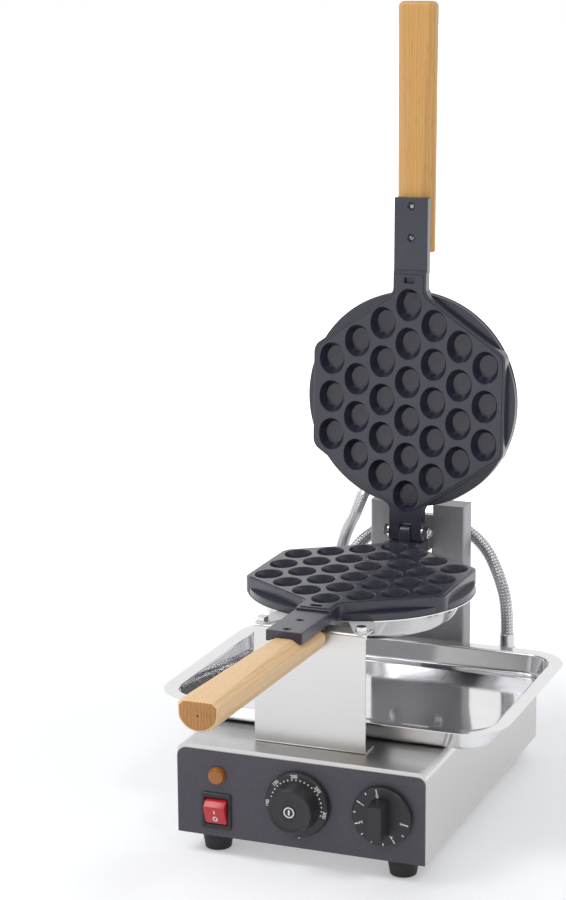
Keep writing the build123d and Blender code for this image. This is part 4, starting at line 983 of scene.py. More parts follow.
def knuckleMesh(place):
    # lug with flat sides that lean in a little towards its top
    axis, radius = (pan["hingeReach"], pan["hingeRise"]), cast["knuckleRadius"]
    low, top = lowNeckTop - 1, axis[1] + radius
    outline = arcPoints(axis, radius, pi, 0, 20)
    outline += [(axis[0] + radius + 1, low), (axis[0] - radius - 1, low)]
    half, lean = cast["knuckleWidth"] / 2, cast["knuckleLean"]
    rings = []
    for side in (-1, 1):
        rings.append([(side * (half - lean * (z - low) / (top - low)), y, z) for y, z in outline])
    made = bevelled(meshOf("knuckle", *ringShell(rings)), cast["knuckleEdge"])
    made.transform(place)
    return settle(made)


tang = {
    "half": 15.25, "lip": 9.0, "lipWall": 2.0, "thickness": 6.0, "flat": 5.5, "length": 63.0, "root": 3.0,
    "edge": 0.8 * mm, "holes": (28.0, 55.5), "mouth": 3.7, "seat": 2.7, "seatStart": 1.0, "seatDepth": 2.6,
}


def tangMesh(place):
    # channel that holds the grip, with two countersunk holes
    half, lip, wall = tang["half"], tang["lip"], tang["lipWall"]
    flat, thick = tang["flat"], tang["thickness"]
    outline = [(-half, 0), (half, 0), (half, -lip), (half - wall, -lip), (flat, -thick), (-flat, -thick),
               (-half + wall, -lip), (-half, -lip)]
    frameOf = place @ tangPlace
    body = meshOf("tang", *extruded(outline, 1, tang["root"], -tang["length"]), place=frameOf)
    mouth, seat, spare = tang["mouth"], tang["seat"], 0.2
    sink = turned([(0, spare), (mouth + spare, spare), (mouth, 0), (seat, -tang["seatStart"]),
                   (seat, -tang["seatDepth"]), (0, -tang["seatDepth"])], 40)
    tools = joinShells(*(moved(sink, Matrix.Translation((0, -reach, 0))) for reach in tang["holes"]))
    return cutBy(bevelled(body, tang["edge"]), meshOf("tangTool", *tools, place=frameOf))


def makePlate(name, place, rear, extra, body, node):
    parts = [meshOf("plateBody", *plateShell(pan["neckReach"], rear), place=place)]
    parts.append(meshOf("plateSkirt", *skirtShell(), place=place))
    parts.append(tangMesh(place))
    mesh = weighted(mergedMesh(name, parts + extra))
    addPiece(name, mesh, castCoating, body, "cast_plate", node)
    print(name, "made,", len(mesh.polygons), "faces")


rearEnd = pan["hingeReach"] - cast["earRadius"] - 1
lowNeckTop = -(cast["earRadius"] + 0.3 - pan["hingeRise"])
halfNeck = pan["neckWidth"] / 2
earInner = cast["knuckleWidth"] / 2 + cast["sideGap"]
upperEnd = pan["hingeReach"] - cast["knuckleRadius"] - cast["slotGap"]
lowNeckStart, lowNeckUnder = rearEnd - 6, -pan["thickness"]
lowNeck = extruded(
    [(lowNeckStart, lowNeckUnder), (lowNeckStart, lowNeckTop), (pan["lowNeckReach"], lowNeckTop),
     (pan["lowNeckReach"], lowNeckUnder)], 0, -halfNeck, halfNeck,
)
lowNeckMesh = bevelled(meshOf("lowNeck", *lowNeck, place=lowerPlace), cast["neckEdge"])
lowerEnds = [lowNeckMesh, knuckleMesh(lowerPlace)]
makePlate("lowerPlate", lowerPlace, rearEnd, lowerEnds, "base", "lower_plate")
upperEnds = [earMesh(side, upperPlace) for side in (-1, 1)]
makePlate("upperPlate", upperPlace, upperEnd, upperEnds, "lid", "upper_plate")


# wooden grips
grip = {
    "start": 15.0, "length": 214.5, "halfWidth": 16.5, "height": 25.0, "side": 13.0, "faceTop": 6.0,
    "rootFlat": 5.5, "endFlat": 12.5, "rootBevel": 8.5, "endBevel": 4.0, "edgeRound": 2.2, "endRound": 4.6,
    "eyeRadius": 1.0, "eyeDepth": 6.0, "eyeDrop": 18.0, "tangGap": 0.1, "sawnDepth": 2 * mm,
}


def gripRing(along, share, inset):
    # flat on the face side with bevelled shoulders, round at the back
    flat = grip["rootFlat"] + (grip["endFlat"] - grip["rootFlat"]) * share
    bevel = grip["rootBevel"] + (grip["endBevel"] - grip["rootBevel"]) * share
    half, top, side = grip["halfWidth"], -grip["faceTop"], -grip["faceTop"] - grip["side"]
    back = -grip["faceTop"] - grip["height"]
    soft = grip["edgeRound"]
    outline = rounded(
        [(-half, side, 0.4), (-half, top - bevel, soft), (-flat, top, soft), (flat, top, soft),
         (half, top - bevel, soft), (half, side, 0.4)], 5
    )
    sag = side - back
    radius = (half * half + sag * sag) / (2 * sag)
    centre = side - sag + radius
    first = atan2(side - centre, half)
    last = -pi - first
    points = [(p.x, p.y) for p in outline] + arcPoints((0, centre), radius, first, last, 24)[1:-1]
    middle = (top + back) / 2
    scaled = []
    for x, z in points:
        offset = Vector((x, z - middle))
        offset *= max(1 - inset / offset.length, 0.05)
        scaled.append((offset.x, -along, offset.y + middle))
    return scaled


def makeGrip(name, place, finish, body, node):
    start, length, soft = grip["start"], grip["length"], grip["endRound"]
    rings = [gripRing(along, 0, inset) for along, inset in ((start, 0.5), (start + 0.5, 0))]
    for k in range(1, 12):
        rings.append(gripRing(start + (length - soft) * k / 11, k / 11, 0))
    for k in range(1, 7):
        turn = pi / 2 * k / 6
        rings.append(gripRing(start + length - soft + soft * sin(turn), 1, soft * (1 - cos(turn))))
    frameOf = place @ tangPlace
    whole = meshOf(name, *ringShell(rings), place=frameOf)
    # the tang's channel and the eye at the tip are cut out of it
    gap, out = grip["tangGap"], 4
    half, lip, wall = tang["half"] + gap, tang["lip"] + gap, tang["lipWall"] + 2 * gap
    flat, thick = tang["flat"], tang["thickness"]
    outline = [(-half - out, 2), (half + out, 2), (half + out, -lip), (half - wall, -lip), (flat, -thick),
               (-flat, -thick), (-half + wall, -lip), (-half - out, -lip)]
    channel = extruded(outline, 1, 5 - start, -tang["length"] - gap)
    radius, depth = grip["eyeRadius"], grip["eyeDepth"]
    eye = turned([(0, -depth), (radius, -depth), (radius, 1), (0, 1)], 24)
    atTip = Matrix.Translation((0, -start - length, -grip["eyeDrop"])) @ Matrix.Rotation(pi / 2, 4, "X")
    wood = cutBy(whole, meshOf("gripTool", *joinShells(channel, moved(eye, atTip)), place=frameOf))
    addPiece(name, smoothed(wood), finish, body, "wood", node)
    # sawn end, darker than the planed sides
    wood.materials.append(endWood)
    outward = (frameOf.to_3x3() @ Vector((0, -1, 0))).normalized()
    tip = frameOf @ Vector((0, -start - length, 0))
    for face in wood.polygons:
        atEnd = (face.center - tip).dot(outward) > -grip["sawnDepth"]
        face.material_index = int(face.normal.dot(outward) > 0.8 and atEnd)
    print(name, "made")


makeGrip("lowerGrip", lowerPlace, lowerWoodPaintedLight, "base", "lower_handle")
makeGrip("upperGrip", upperPlace, upperWood, "lid", "upper_handle")


# fasteners
def triple(tree, x=0.0, y=0.0, z=0.0):
    return addNode(tree, "ShaderNodeCombineXYZ", X=x, Y=y, Z=z).outputs[0]


def shifted(tree, geometry, x=0.0, y=0.0, z=0.0):
    place = triple(tree, x, y, z)
    return addNode(tree, "GeometryNodeTransform", Geometry=geometry, Translation=place).outputs["Geometry"]


def joined(tree, *geometries):
    node = tree.nodes.new("GeometryNodeJoinGeometry")
    for geometry in geometries:
        tree.links.new(geometry, node.inputs["Geometry"])
    return node.outputs["Geometry"]


def cutMesh(tree, operation, first, second):
    node = addNode(tree, "GeometryNodeMeshBoolean", {"operation": operation, "solver": "EXACT"})
    feed(tree, node.inputs["Mesh 1" if operation == "DIFFERENCE" else "Mesh 2"], first)
    feed(tree, node.inputs["Mesh 2"], second)
    return node.outputs["Mesh"]


def chosen(tree, test, plain, other):
    node = addNode(tree, "GeometryNodeSwitch", {"input_type": "GEOMETRY"}, Switch=test)
    feed(tree, node.inputs["True"], other)
    if plain:
        feed(tree, node.inputs["False"], plain)
    return node.outputs["Output"]


def above(tree, value, limit):
    return number(tree, "GREATER_THAN", value, limit)


def cylinder(tree, sides, radius, depth, rings=1):
    return addNode(
        tree, "GeometryNodeMeshCylinder", Vertices=sides, Radius=radius, Depth=depth, Side_Segments=rings
    ).outputs["Mesh"]


def finishTree(tree, end, geometry, material):
    real = addNode(tree, "GeometryNodeRealizeInstances", Geometry=geometry)
    coloured = addNode(tree, "GeometryNodeSetMaterial", Geometry=real.outputs[0], Material=material)
    feed(tree, end.inputs["Geometry"], coloured.outputs[0])


def makeFastenerTree():
    # head on z = 0 with its crown or chamfer and recess, and a threaded shank below, set on every point
    tree, start, end = newTree("fastener", "GeometryNodeTree", [
        ("Geometry", "Geometry", None), ("Sides", "Int", 6), ("Head Radius", "Float", 4 * mm),
        ("Head Height", "Float", 3 * mm), ("Domed", "Bool", False), ("Crown Radius", "Float", 4 * mm),
        ("Recess", "Float", 0.0), ("Bore", "Float", 0.0), ("Shank Radius", "Float", 2 * mm),
        ("Shank Length", "Float", 8 * mm), ("Thread Pitch", "Float", 0.7 * mm),
        ("Thread Depth", "Float", 0.2 * mm), ("Material", "Material", None),
    ], [("Geometry", "Geometry")])
    size = start.outputs
    height, spare, flare = size["Head Height"], 0.4 * mm, 1.73
    tall = number(tree, "ADD", height, spare)
    head = cylinder(tree, size["Sides"], size["Head Radius"], tall)
    head = shifted(tree, head, z=number(tree, "MULTIPLY", tall, 0.5))
    # a flat-topped cone cuts a hexagon's corners back at thirty degrees
    foot = number(tree, "MULTIPLY_ADD", tall, flare, size["Crown Radius"])
    cone = addNode(
        tree, "GeometryNodeMeshCone", Vertices=64, Depth=tall, Radius_Top=size["Crown Radius"],
        Radius_Bottom=foot,
    ).outputs["Mesh"]
    cone = shifted(tree, cone, z=-spare)
    ball = addNode(tree, "GeometryNodeMeshUVSphere", Segments=48, Rings=32, Radius=1.0).outputs["Mesh"]
    domeSize = triple(tree, size["Crown Radius"], size["Crown Radius"], height)
    ball = addNode(tree, "GeometryNodeTransform", Geometry=ball, Scale=domeSize).outputs["Geometry"]
    head = cutMesh(tree, "INTERSECT", head, chosen(tree, size["Domed"], cone, ball))
    # cross recess from the top down, with arms a quarter as wide as they are long
    width, reach = number(tree, "MULTIPLY", size["Recess"], 0.26), size["Recess"]
    deep, arms = number(tree, "MULTIPLY", height, 1.1), []
    for x, y in ((reach, width), (width, reach)):
        arms.append(addNode(tree, "GeometryNodeMeshCube", Size=triple(tree, x, y, deep)).outputs["Mesh"])
    cross = shifted(tree, joined(tree, *arms), z=height)
    head = chosen(tree, above(tree, size["Recess"], 0.0), head, cutMesh(tree, "DIFFERENCE", head, cross))
    drill = cylinder(tree, 40, size["Bore"], 30 * mm)
    head = chosen(tree, above(tree, size["Bore"], 0.0), head, cutMesh(tree, "DIFFERENCE", head, drill))
    length, pitch = size["Shank Length"], size["Thread Pitch"]
    # six rings to each turn of the thread
    ringCount = number(tree, "MULTIPLY", number(tree, "DIVIDE", length, pitch), 6.0)
    shank = cylinder(tree, 24, size["Shank Radius"], length, ringCount)
    shank = shifted(tree, shank, z=number(tree, "MULTIPLY", length, -0.5))
    place = addNode(tree, "GeometryNodeInputPosition").outputs[0]
    split = addNode(tree, "ShaderNodeSeparateXYZ", Vector=place).outputs
    around = number(tree, "ARCTAN2", split["Y"], split["X"])
    along = number(tree, "MULTIPLY", number(tree, "DIVIDE", split["Z"], pitch), 2 * pi)
    wave = number(tree, "SINE", number(tree, "ADD", along, around))
    narrow = number(tree, "MULTIPLY", number(tree, "SUBTRACT", wave, 1.0), size["Thread Depth"])
    share = number(tree, "DIVIDE", number(tree, "MULTIPLY", narrow, 0.5), size["Shank Radius"])
    offset = triple(tree, *(number(tree, "MULTIPLY", split[axis], share) for axis in "XY"))
    shank = addNode(tree, "GeometryNodeSetPosition", Geometry=shank, Offset=offset).outputs["Geometry"]
    shank = chosen(tree, above(tree, length, 0.0), None, shank)
    turn = addNode(tree, "FunctionNodeAxesToRotation", {"primary_axis": "Z", "secondary_axis": "X"})
    for socket, label in zip(turn.inputs, screwAxes):
        axis = addNode(tree, "GeometryNodeInputNamedAttribute", {"data_type": "FLOAT_VECTOR"}, Name=label)
        feed(tree, socket, axis.outputs["Attribute"])
    spread = addNode(
        tree, "GeometryNodeInstanceOnPoints", Points=size["Geometry"], Instance=joined(tree, head, shank),
        Rotation=turn.outputs[0],
    )
    finishTree(tree, end, spread.outputs[0], size["Material"])
    return tree


def runTree(tree, name, mesh, sizes):
    # the tree's result as one plain mesh
    holder = held(name, mesh)
    grower = holder.modifiers.new("tree", "NODES")
    grower.node_group = tree
    for item in tree.interface.items_tree:
        if item.in_out == "INPUT" and item.name in sizes:
            grower[item.identifier] = sizes[item.name]
    plain = plainMesh(holder)
    for label in screwAxes:
        if label in plain.attributes:
            plain.attributes.remove(plain.attributes[label])
    plain.name = name
    return settle(plain, 30, False)


def measureFastener(points, facing, count):
    # seat, turn and sizes of one screw, bolt or nut, read from its solid
    side = facing.orthogonal().normalized()
    other = facing.cross(side)
    middle = Vector((0, 0, 0))
    for axis in (side, other):
        reach = [p.dot(axis) for p in points]
        middle += axis * (min(reach) + max(reach)) / 2
    rises = [p.dot(facing) for p in points]
    spokes = [p - middle - facing * rise for p, rise in zip(points, rises)]
    radius = max(s.length for s in spokes)
    rim = [(spoke, rise) for spoke, rise in zip(spokes, rises) if spoke.length > 0.99 * radius]
    seat, foot = min(rise for spoke, rise in rim), min(rises)
    across = rim[count * fastener["turnStep"] % len(rim)][0].normalized()
    below = [s.length for s, rise in zip(spokes, rises) if rise < seat - 0.3 * mm]
    return {
        "place": middle + facing * seat, "across": across, "radius": radius,
        "height": max(rises) - seat, "sides": 6 if len(rim) < 20 else fastener["domeSides"],
        "shank": max(below) if below else 0.0, "length": seat - foot,
        "bore": min(s.length for s in spokes) if not below else 0.0,
    }


screwAxes = ("facing", "across")  # attributes that turn a fastener on its point
fastenerTree = makeFastenerTree()
fastener = {
    "chamferFlat": 0.81,      # flat of a hexagon's top over its corner radius
    "domeSides": 48,
    "turnStep": 17,           # rim corners from one screw's turn to the next one's
    "domeReach": 1.16,        # dome's half width over the head's radius
    "recess": 1.15,           # cross recess over the head's radius
    "threadDepth": 0.3 * mm,
    "pitch": 0.8 * mm,
}
lowerUp = (lowerPlace @ tangPlace).to_3x3() @ Vector((0, 0, 1))
upperUp = (upperPlace @ tangPlace).to_3x3() @ Vector((0, 0, 1))
lidDown = upperPlace.to_3x3() @ Vector((0, 0, -1))
fasteners = [
    ("bracketScrews", "bracket_screws", (0, 0, 1), "base"),
    ("columnScrews", "column_screws", (0, 0, 1), "base"),
    ("supportScrews", "support_screws", (0, -1, 0), "base"),
    ("neckScrews", "neck_screws", (0, 0, -1), "base"),
    ("footScrews", "foot_screws", (0, 0, -1), "base"),
    ("rearPanelScrews", "rear_panel_screws", (0, 0, -1), "base"),
    ("panBolts", "pan_bolts", (0, 0, 1), "base"),
    ("panNuts", "pan_nuts", (0, 0, -1), "base"),
    ("hingeBolt", "hinge_bolt", (-1, 0, 0), "lid"),
    ("hingeNut", "hinge_nut", (1, 0, 0), "lid"),
    ("lowerStudNuts", "lower_stud_nuts", (0, 0, -1), "base"),
    ("upperStudNuts", "upper_stud_nuts", lidDown, "lid"),
]


def spreadFastener(name, spots, facing, across, sizes, finish, body, node):
    # one fastener on every spot, all facing one way, as one piece
    mesh = bpy.data.meshes.new(name)
    mesh.from_pydata(spots, [], [])
    for label, values in zip(screwAxes, ([facing] * len(spots), across)):
        layer = mesh.attributes.new(label, "FLOAT_VECTOR", "POINT")
        layer.data.foreach_set("vector", [c for value in values for c in value])
    thread = {"Thread Pitch": fastener["pitch"], "Thread Depth": fastener["threadDepth"]}
    made = runTree(fastenerTree, name, mesh, {**sizes, **thread, "Material": finish})
    addPiece(name, made, finish, body, "zinc_screws", node)


def makeFasteners(name, node, facing, body):
    facing = Vector(facing).normalized()
    seats = [measureFastener(points, facing, n) for n, points in enumerate(solidsOf(node))]
    first = seats[0]
    radius, domed = first["radius"], first["sides"] == fastener["domeSides"]
    crown = radius * (fastener["domeReach"] if domed else fastener["chamferFlat"])
    spots, across = [seat["place"] for seat in seats], [seat["across"] for seat in seats]
    spreadFastener(name, spots, facing, across, {
        "Sides": first["sides"], "Head Radius": radius, "Head Height": first["height"], "Domed": domed,
        "Crown Radius": crown, "Recess": radius * fastener["recess"] if domed else 0.0,
        "Bore": first["bore"], "Shank Radius": first["shank"], "Shank Length": first["length"],
    }, zinc, body, node)
    print(name, len(seats), "of", {k: round(v / mm, 2) for k, v in first.items() if isinstance(v, float)})


for name, node, facing, body in fasteners:
    makeFasteners(name, node, facing, body)

gripScrew = {
    "seat": 2.6, "head": 2.5 * mm, "height": 1.7 * mm, "crown": 1.2, "recess": 1.1, "shank": 2.0 * mm,
    "length": 19.5 * mm,
}


def makeGripScrews(name, node, place, facing, finish, body):
    # small heads down in the tang's holes
    spots = [place @ tangPlace @ Vector((0, -reach, -gripScrew["seat"])) for reach in tang["holes"]]
    head = gripScrew["head"]
    spreadFastener(name, spots, facing.normalized(), [Vector((1, 0, 0))] * len(spots), {
        "Sides": 40, "Head Radius": head, "Head Height": gripScrew["height"], "Domed": True,
        "Crown Radius": head * gripScrew["crown"], "Recess": head * gripScrew["recess"], "Bore": 0.0,
        "Shank Radius": gripScrew["shank"], "Shank Length": gripScrew["length"],
    }, finish, body, node)


makeGripScrews("lowerGripScrews", "lower_handle_screws", lowerPlace, lowerUp, elementSteel, "base")
makeGripScrews("upperGripScrews", "upper_handle_screws", upperPlace, upperUp, zinc, "lid")
print("fasteners made")


# reflectors and tray
reflector = {
    "radius": 96.3, "flange": 8.3, "sheet": 0.8, "depth": 23.2, "foot": 77.0, "bend": 14.0,
    "roll": 1.2, "lugSpread": 42.0, "lugReach": 117.5, "lugRadius": 6.0, "lugRoot": 10.8, "lugLap": 92.5,
    "lugEdge": 0.2 * mm,
}


def offsetLine(line, thickness):
    # the line moved to its left by the sheet's thickness
    beside = []
    for n, (x, z) in enumerate(line):
        before, after = line[max(n - 1, 0)], line[min(n + 1, len(line) - 1)]
        along = Vector((after[0] - before[0], after[1] - before[1])).normalized()
        beside.append((max(x - along.y * thickness, 0.0), z + along.x * thickness))
    return beside


def sheetLine(corners, steps):
    # an open line with rounded bends; its first and last corners only lend their direction
    line = [(p.x, p.y) for p in rounded(corners, steps)][steps + 1:-steps - 1]
    return [p for n, p in enumerate(line) if n == 0 or (Vector(p) - Vector(line[n - 1])).length > 1e-5]


def makeReflector(name, place, body, node):
    size, away = reflector, 60
    top = -pan["thickness"] - size["sheet"]
    bottom = -pan["thickness"] - size["depth"]
    corners = [
        (0, bottom + away, 0), (0, bottom, 0), (size["foot"], bottom, size["bend"]),
        (size["radius"] - size["flange"], top, size["roll"]), (size["radius"], top, 0),
        (size["radius"], bottom + away, 0),
    ]
    outer = sheetLine(corners, 12)
    mesh = meshOf(name, *turned(outer + offsetLine(outer, size["sheet"])[::-1], 128), place=place)
    addPiece(name, mesh, polished, body, "polished_sheet", node)


def makeLugs(place):
    # the two ears of sheet that stand out from under the lower plate
    size, plates = reflector, []
    top = -pan["thickness"] - size["sheet"]
    for side in (-1, 1):
        spot = Vector((side * size["lugSpread"], -size["lugReach"]))
        out = spot.normalized()
        sideways = Vector((-out.y, out.x)) * size["lugRoot"]
        turn, root = atan2(out.y, out.x), out * size["lugLap"]
        tip = arcPoints(spot, size["lugRadius"], turn - pi / 2, turn + pi / 2, 16)
        plates.append(extruded([root - sideways, *tip, root + sideways], 2, top, top + size["sheet"]))
    mesh = meshOf("reflectorLugs", *joinShells(*plates), place=place)
    addPiece("reflectorLugs", bevelled(mesh, size["lugEdge"], 2), lugSteel, "base", "polished_sheet")


tray = {"rim": 12.0, "sheet": 0.8, "corner": 38.0, "draft": 4.0, "bend": 6.0, "roll": 1.6, "rimRound": 0.2}


def makeTray(size):
    low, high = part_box("drip_tray")
    middle, half, tall = (low + high) / 2 / mm, (high - low) / 2 / mm, (high.z - low.z) / mm
    sheet, away, edgeInset = size["sheet"], 90, 0.3
    corners = [
        (60, away, 0), (60, 0, 0), (size["rim"] + size["draft"], 0, size["bend"]),
        (size["rim"], tall - sheet, size["roll"]), (edgeInset, tall - sheet, 0), (edgeInset, away, 0),
    ]
    outer = sheetLine(corners, 8)
    inner = offsetLine(outer, -sheet)
    edge = [(0.0, outer[-1][1] + size["rimRound"]), (0.0, inner[-1][1] - size["rimRound"])]
    rings = []
    for inset, z in outer + edge + inner[::-1]:
        flat = rectangle(half.x - inset, half.y - inset, max(size["corner"] - inset, 1.0), 14)
        rings.append([(middle.x + p.x, middle.y + p.y, low.z / mm + z) for p in flat])
    mesh = meshOf("dripTray", *ringShell(rings), place=Matrix.Scale(mm, 4))
    addPiece("dripTray", mesh, polished, "tray", "polished_sheet", "drip_tray")


makeReflector("lowerReflector", lowerPlace, "base", "lower_reflector")
makeLugs(lowerPlace)
makeReflector("upperReflector", upperPlace, "lid", "upper_reflector")
makeTray(tray)
print("sheet pieces made")


# controls
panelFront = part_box("control_panel")[0].y


def controlPlace(node):
    # local z points out of the panel and local y up, in millimetres
    middle = middleOf(node)
    turn = Matrix.Rotation(pi / 2, 4, "X")
    return Matrix.Translation((middle.x, panelFront, middle.z)) @ turn @ Matrix.Scale(mm, 4)


def makeMarksTree():
    # dots or bars in an arc about z; angles run clockwise from the top
    tree, start, end = newTree("marksAround", "GeometryNodeTree", [
        ("Geometry", "Geometry", None), ("Count", "Int", 6), ("First Angle", "Float", 0.0),
        ("Sweep", "Float", 1.0), ("Radius", "Float", 20.0), ("Mark Width", "Float", 1.0),
        ("Mark Length", "Float", 3.0), ("Mark Height", "Float", 0.1), ("Round", "Bool", False),
        ("Material", "Material", None),
    ], [("Geometry", "Geometry")])
    size = start.outputs
    index = tree.nodes.new("GeometryNodeInputIndex").outputs[0]
    gaps = number(tree, "MAXIMUM", number(tree, "SUBTRACT", size["Count"], 1.0), 1.0)
    share = number(tree, "DIVIDE", index, gaps)
    angle = number(tree, "MULTIPLY_ADD", share, size["Sweep"], size["First Angle"])
    ways = [number(tree, way, angle) for way in ("SINE", "COSINE")]
    place = triple(tree, *(number(tree, "MULTIPLY", way, size["Radius"]) for way in ways))
    spots = addNode(tree, "GeometryNodePoints", Count=size["Count"], Position=place).outputs[0]
    barSize = triple(tree, size["Mark Width"], size["Mark Length"], size["Mark Height"])
    bar = addNode(tree, "GeometryNodeMeshCube", Size=barSize).outputs["Mesh"]
    dot = cylinder(tree, 24, number(tree, "MULTIPLY", size["Mark Width"], 0.5), size["Mark Height"])
    turn = addNode(tree, "FunctionNodeEulerToRotation")
    feed(tree, turn.inputs[0], triple(tree, z=number(tree, "MULTIPLY", angle, -1.0)))
    spread = addNode(
        tree, "GeometryNodeInstanceOnPoints", Points=spots, Instance=chosen(tree, size["Round"], bar, dot),
        Rotation=turn.outputs[0],
    )
    finishTree(tree, end, spread.outputs[0], size["Material"])
    return tree


marksTree = makeMarksTree()


def marksAround(name, count, first, sweep, radius, width, length, ink, height=0.0, dots=False):
    # half of each mark's thickness stands out of the face at this height
    marks = runTree(marksTree, name, bpy.data.meshes.new(name), {
        "Count": count, "First Angle": radians(first), "Sweep": radians(sweep), "Radius": radius,
        "Mark Width": width, "Mark Length": length, "Mark Height": 2 * ink, "Round": dots,
        "Material": markInk,
    })
    marks.transform(Matrix.Translation((0, 0, height)))
    return marks


def ringMark(name, inner, outer, ink, height=0.0, squash=1.0, count=72):
    profile = [(inner, -ink), (outer, -ink), (outer, ink), (inner, ink)]
    rings = [circle(squash * radius, radius, height + z, count) for radius, z in profile]
    return meshOf(name, *ringShell(rings, closed=True))


def barMark(name, wide, long, corner, steps, ink, height=0.0):
    return meshOf(name, *extruded(rectangle(wide, long, corner, steps), 2, height - ink, height + ink))


def addMarks(name, parts, place, body, slot):
    marks = mergedMesh(name, parts)
    marks.transform(place)
    addPiece(name, marks, markInk, body, slot)


def lettering(label, size, angle, ink):
    # a number on a dial's face at a clockwise angle, its head outward
    height = size["labelHeight"]
    curve = bpy.data.curves.new("lettering", "FONT")
    curve.body = str(label)
    curve.size = height / 0.7          # capital height over font size
    curve.align_x = "CENTER"
    curve.extrude = ink
    curve.resolution_u = 6
    curve.offset = height * 0.035      # a bolder stroke
    made = plainMesh(held("letteringHolder", curve))
    made.transform(Matrix.Translation((0, -height / 2, 0)))
    turn, radius = radians(angle), size["labelRadius"]
    spot = Matrix.Translation((radius * sin(turn), radius * cos(turn), size["face"]))
    made.transform(spot @ Matrix.Rotation(-turn, 4, "Z"))
    return made


temperatureDial = {
    "gap": 1.0, "radius": 27.0, "rim": 4.0, "bevel": 1.2, "face": 6.0, "root": 20.0, "tip": 18.5,
    "reach": 22.0, "ridge": 8.2, "dish": 0.8, "cap": 5.4, "capGap": 0.1, "capFoot": 1.2, "capTop": 21.7,
    "ring": (3.5, 4.5), "bar": (0.75, 2.3, 0.74),
    "dots": (22, -95.0, 200.0, 21.7, 1.35, 1.0),      # count, first angle, sweep, radius, width, length
    "index": (1, 180, 0, 29.6, 1.2, 1.0),
    "labels": [(100, -92), (150, -46), (200, -4), (250, 49), (300, 101)],
    "labelRadius": 24.5, "labelHeight": 2.8, "ink": 0.08,
}


def makeTemperatureDial(size):
    place, ink = controlPlace("temperature_knob"), size["ink"]
    face, reach, dish = size["face"], size["reach"], size["reach"] - size["dish"]
    radius, root, tip, ridge = size["radius"], size["root"], size["tip"], size["ridge"]
    cap, capTop, foot = size["cap"], size["capTop"], reach - size["capFoot"]
    hole = cap + size["capGap"]
    knob = lathe([
        (0, size["gap"], 0), (radius, size["gap"], 0.4), (radius, size["rim"], 0.5),
        (radius - size["bevel"], face, 0.5), (root + 0.3, face, 0.25), (root, face + 0.6, 0.25),
        (tip, reach - 0.6, 0.5), (tip - 0.9, reach, 0.5), (tip - 2.6, reach, 0.4),
        (tip - 4.0, dish + 0.25, 1.5), (ridge + 1.6, dish, 1.2), (ridge, dish + 0.35, 0.6),
        (ridge - 1.2, dish, 0.6), (hole, dish, 0.1), (hole, foot, 0), (0, foot, 0),
    ])
    mesh = meshOf("temperatureKnob", *knob, place=place)
    addPiece("temperatureKnob", mesh, knobBlack, "temperature_dial", "knob_black", "temperature_knob")
    disc = lathe([(0, foot, 0), (cap, foot, 0), (cap, capTop, 0.3), (0, capTop, 0)])
    mesh = meshOf("temperatureCap", *disc, place=place)
    addPiece("temperatureCap", mesh, knobBlack, "temperature_dial", "knob_black", "temperature_cap")
    parts = [marksAround("dialDots", *size["dots"], ink, face, True)]
    parts += [lettering(label, size, angle, ink) for label, angle in size["labels"]]
    parts.append(ringMark("capRing", *size["ring"], ink, capTop))
    parts.append(barMark("capBar", *size["bar"], 6, ink, capTop))
    addMarks("temperatureMarks", parts, place, "temperature_dial", "knob_cap")
    dot = marksAround("indexDot", *size["index"], ink, dots=True)
    dot.transform(place)
    addPiece("indexDot", dot, markInk, "base", "knob_cap")


timerDial = {
    "gap": 1.0, "radius": 24.5, "bevel": 1.0, "face": 6.0, "boss": 15.6, "bossTip": 14.2, "foot": 13.0,
    "bar": 11.0, "reach": 22.0, "round": 0.45, "ink": 0.08,
    "longTicks": (6, -10.0, -250.0, 21.5, 0.95, 3.4), "shortTicks": (5, -35.0, -200.0, 22.2, 0.95, 2.0),
    "labelRadius": 17.9, "labelHeight": 3.2,
}


def makeTimerDial(size):
    place, ink = controlPlace("timer_knob"), size["ink"]
    face, radius, bevel, reach = size["face"], size["radius"], size["bevel"], size["reach"]
    skirt = lathe([
        (0, size["gap"], 0), (radius, size["gap"], 0.3), (radius, face - bevel, 0.4),
        (radius - bevel, face, 0.4), (0, face, 0),
    ])
    boss = meshOf("timerBoss", *lathe([
        (0, face - 0.5, 0), (size["boss"] + 0.1, face - 0.5, 0), (size["bossTip"], reach, 0), (0, reach, 0),
    ], 1))
    # the boss is cut down to a bar that narrows outward
    half, tip = size["foot"] / 2 + 0.4, size["bar"] / 2
    outline = [(half, face - 1), (tip, reach + 0.5), (-tip, reach + 0.5), (-half, face - 1)]
    prism = meshOf("timerPrism", *extruded(outline, 1, -20, 20))
    bar = bevelled(cutBy(boss, prism, "INTERSECT"), size["round"], 3, 25)
    mesh = mergedMesh("timerKnob", [meshOf("timerSkirt", *skirt), settle(bar)])
    mesh.transform(place)
    addPiece("timerKnob", weighted(mesh), knobBlack, "timer_dial", "knob_black", "timer_knob")
    parts = [marksAround(name, *size[name], ink, face) for name in ("longTicks", "shortTicks")]
    count, first, sweep = size["longTicks"][:3]
    for digit in range(count):
        parts.append(lettering(digit, size, first + sweep * digit / (count - 1), ink))
    addMarks("timerMarks", parts, place, "timer_dial", "knob_cap")


switch = {
    # the rocker's outline from the side, height then reach out of the panel, as it stands at rest
    "face": [(-10.4, 2.3, 0.5), (4.6, 7.8, 1.4), (8.9, 3.6, 4.0), (10.3, 0.4, 1.0), (10.5, -6.5, 0.5),
             (-10.5, -6.5, 0.5)],
    "width": 18.4, "edge": 0.5, "ink": 0.06, "housingEdge": 0.35 * mm,
    "bar": (0.55, 1.85, 0.2), "barSpot": 0.6, "ring": (1.35, 2.5), "ringSpot": -5.9, "ringSquash": 0.88,
}


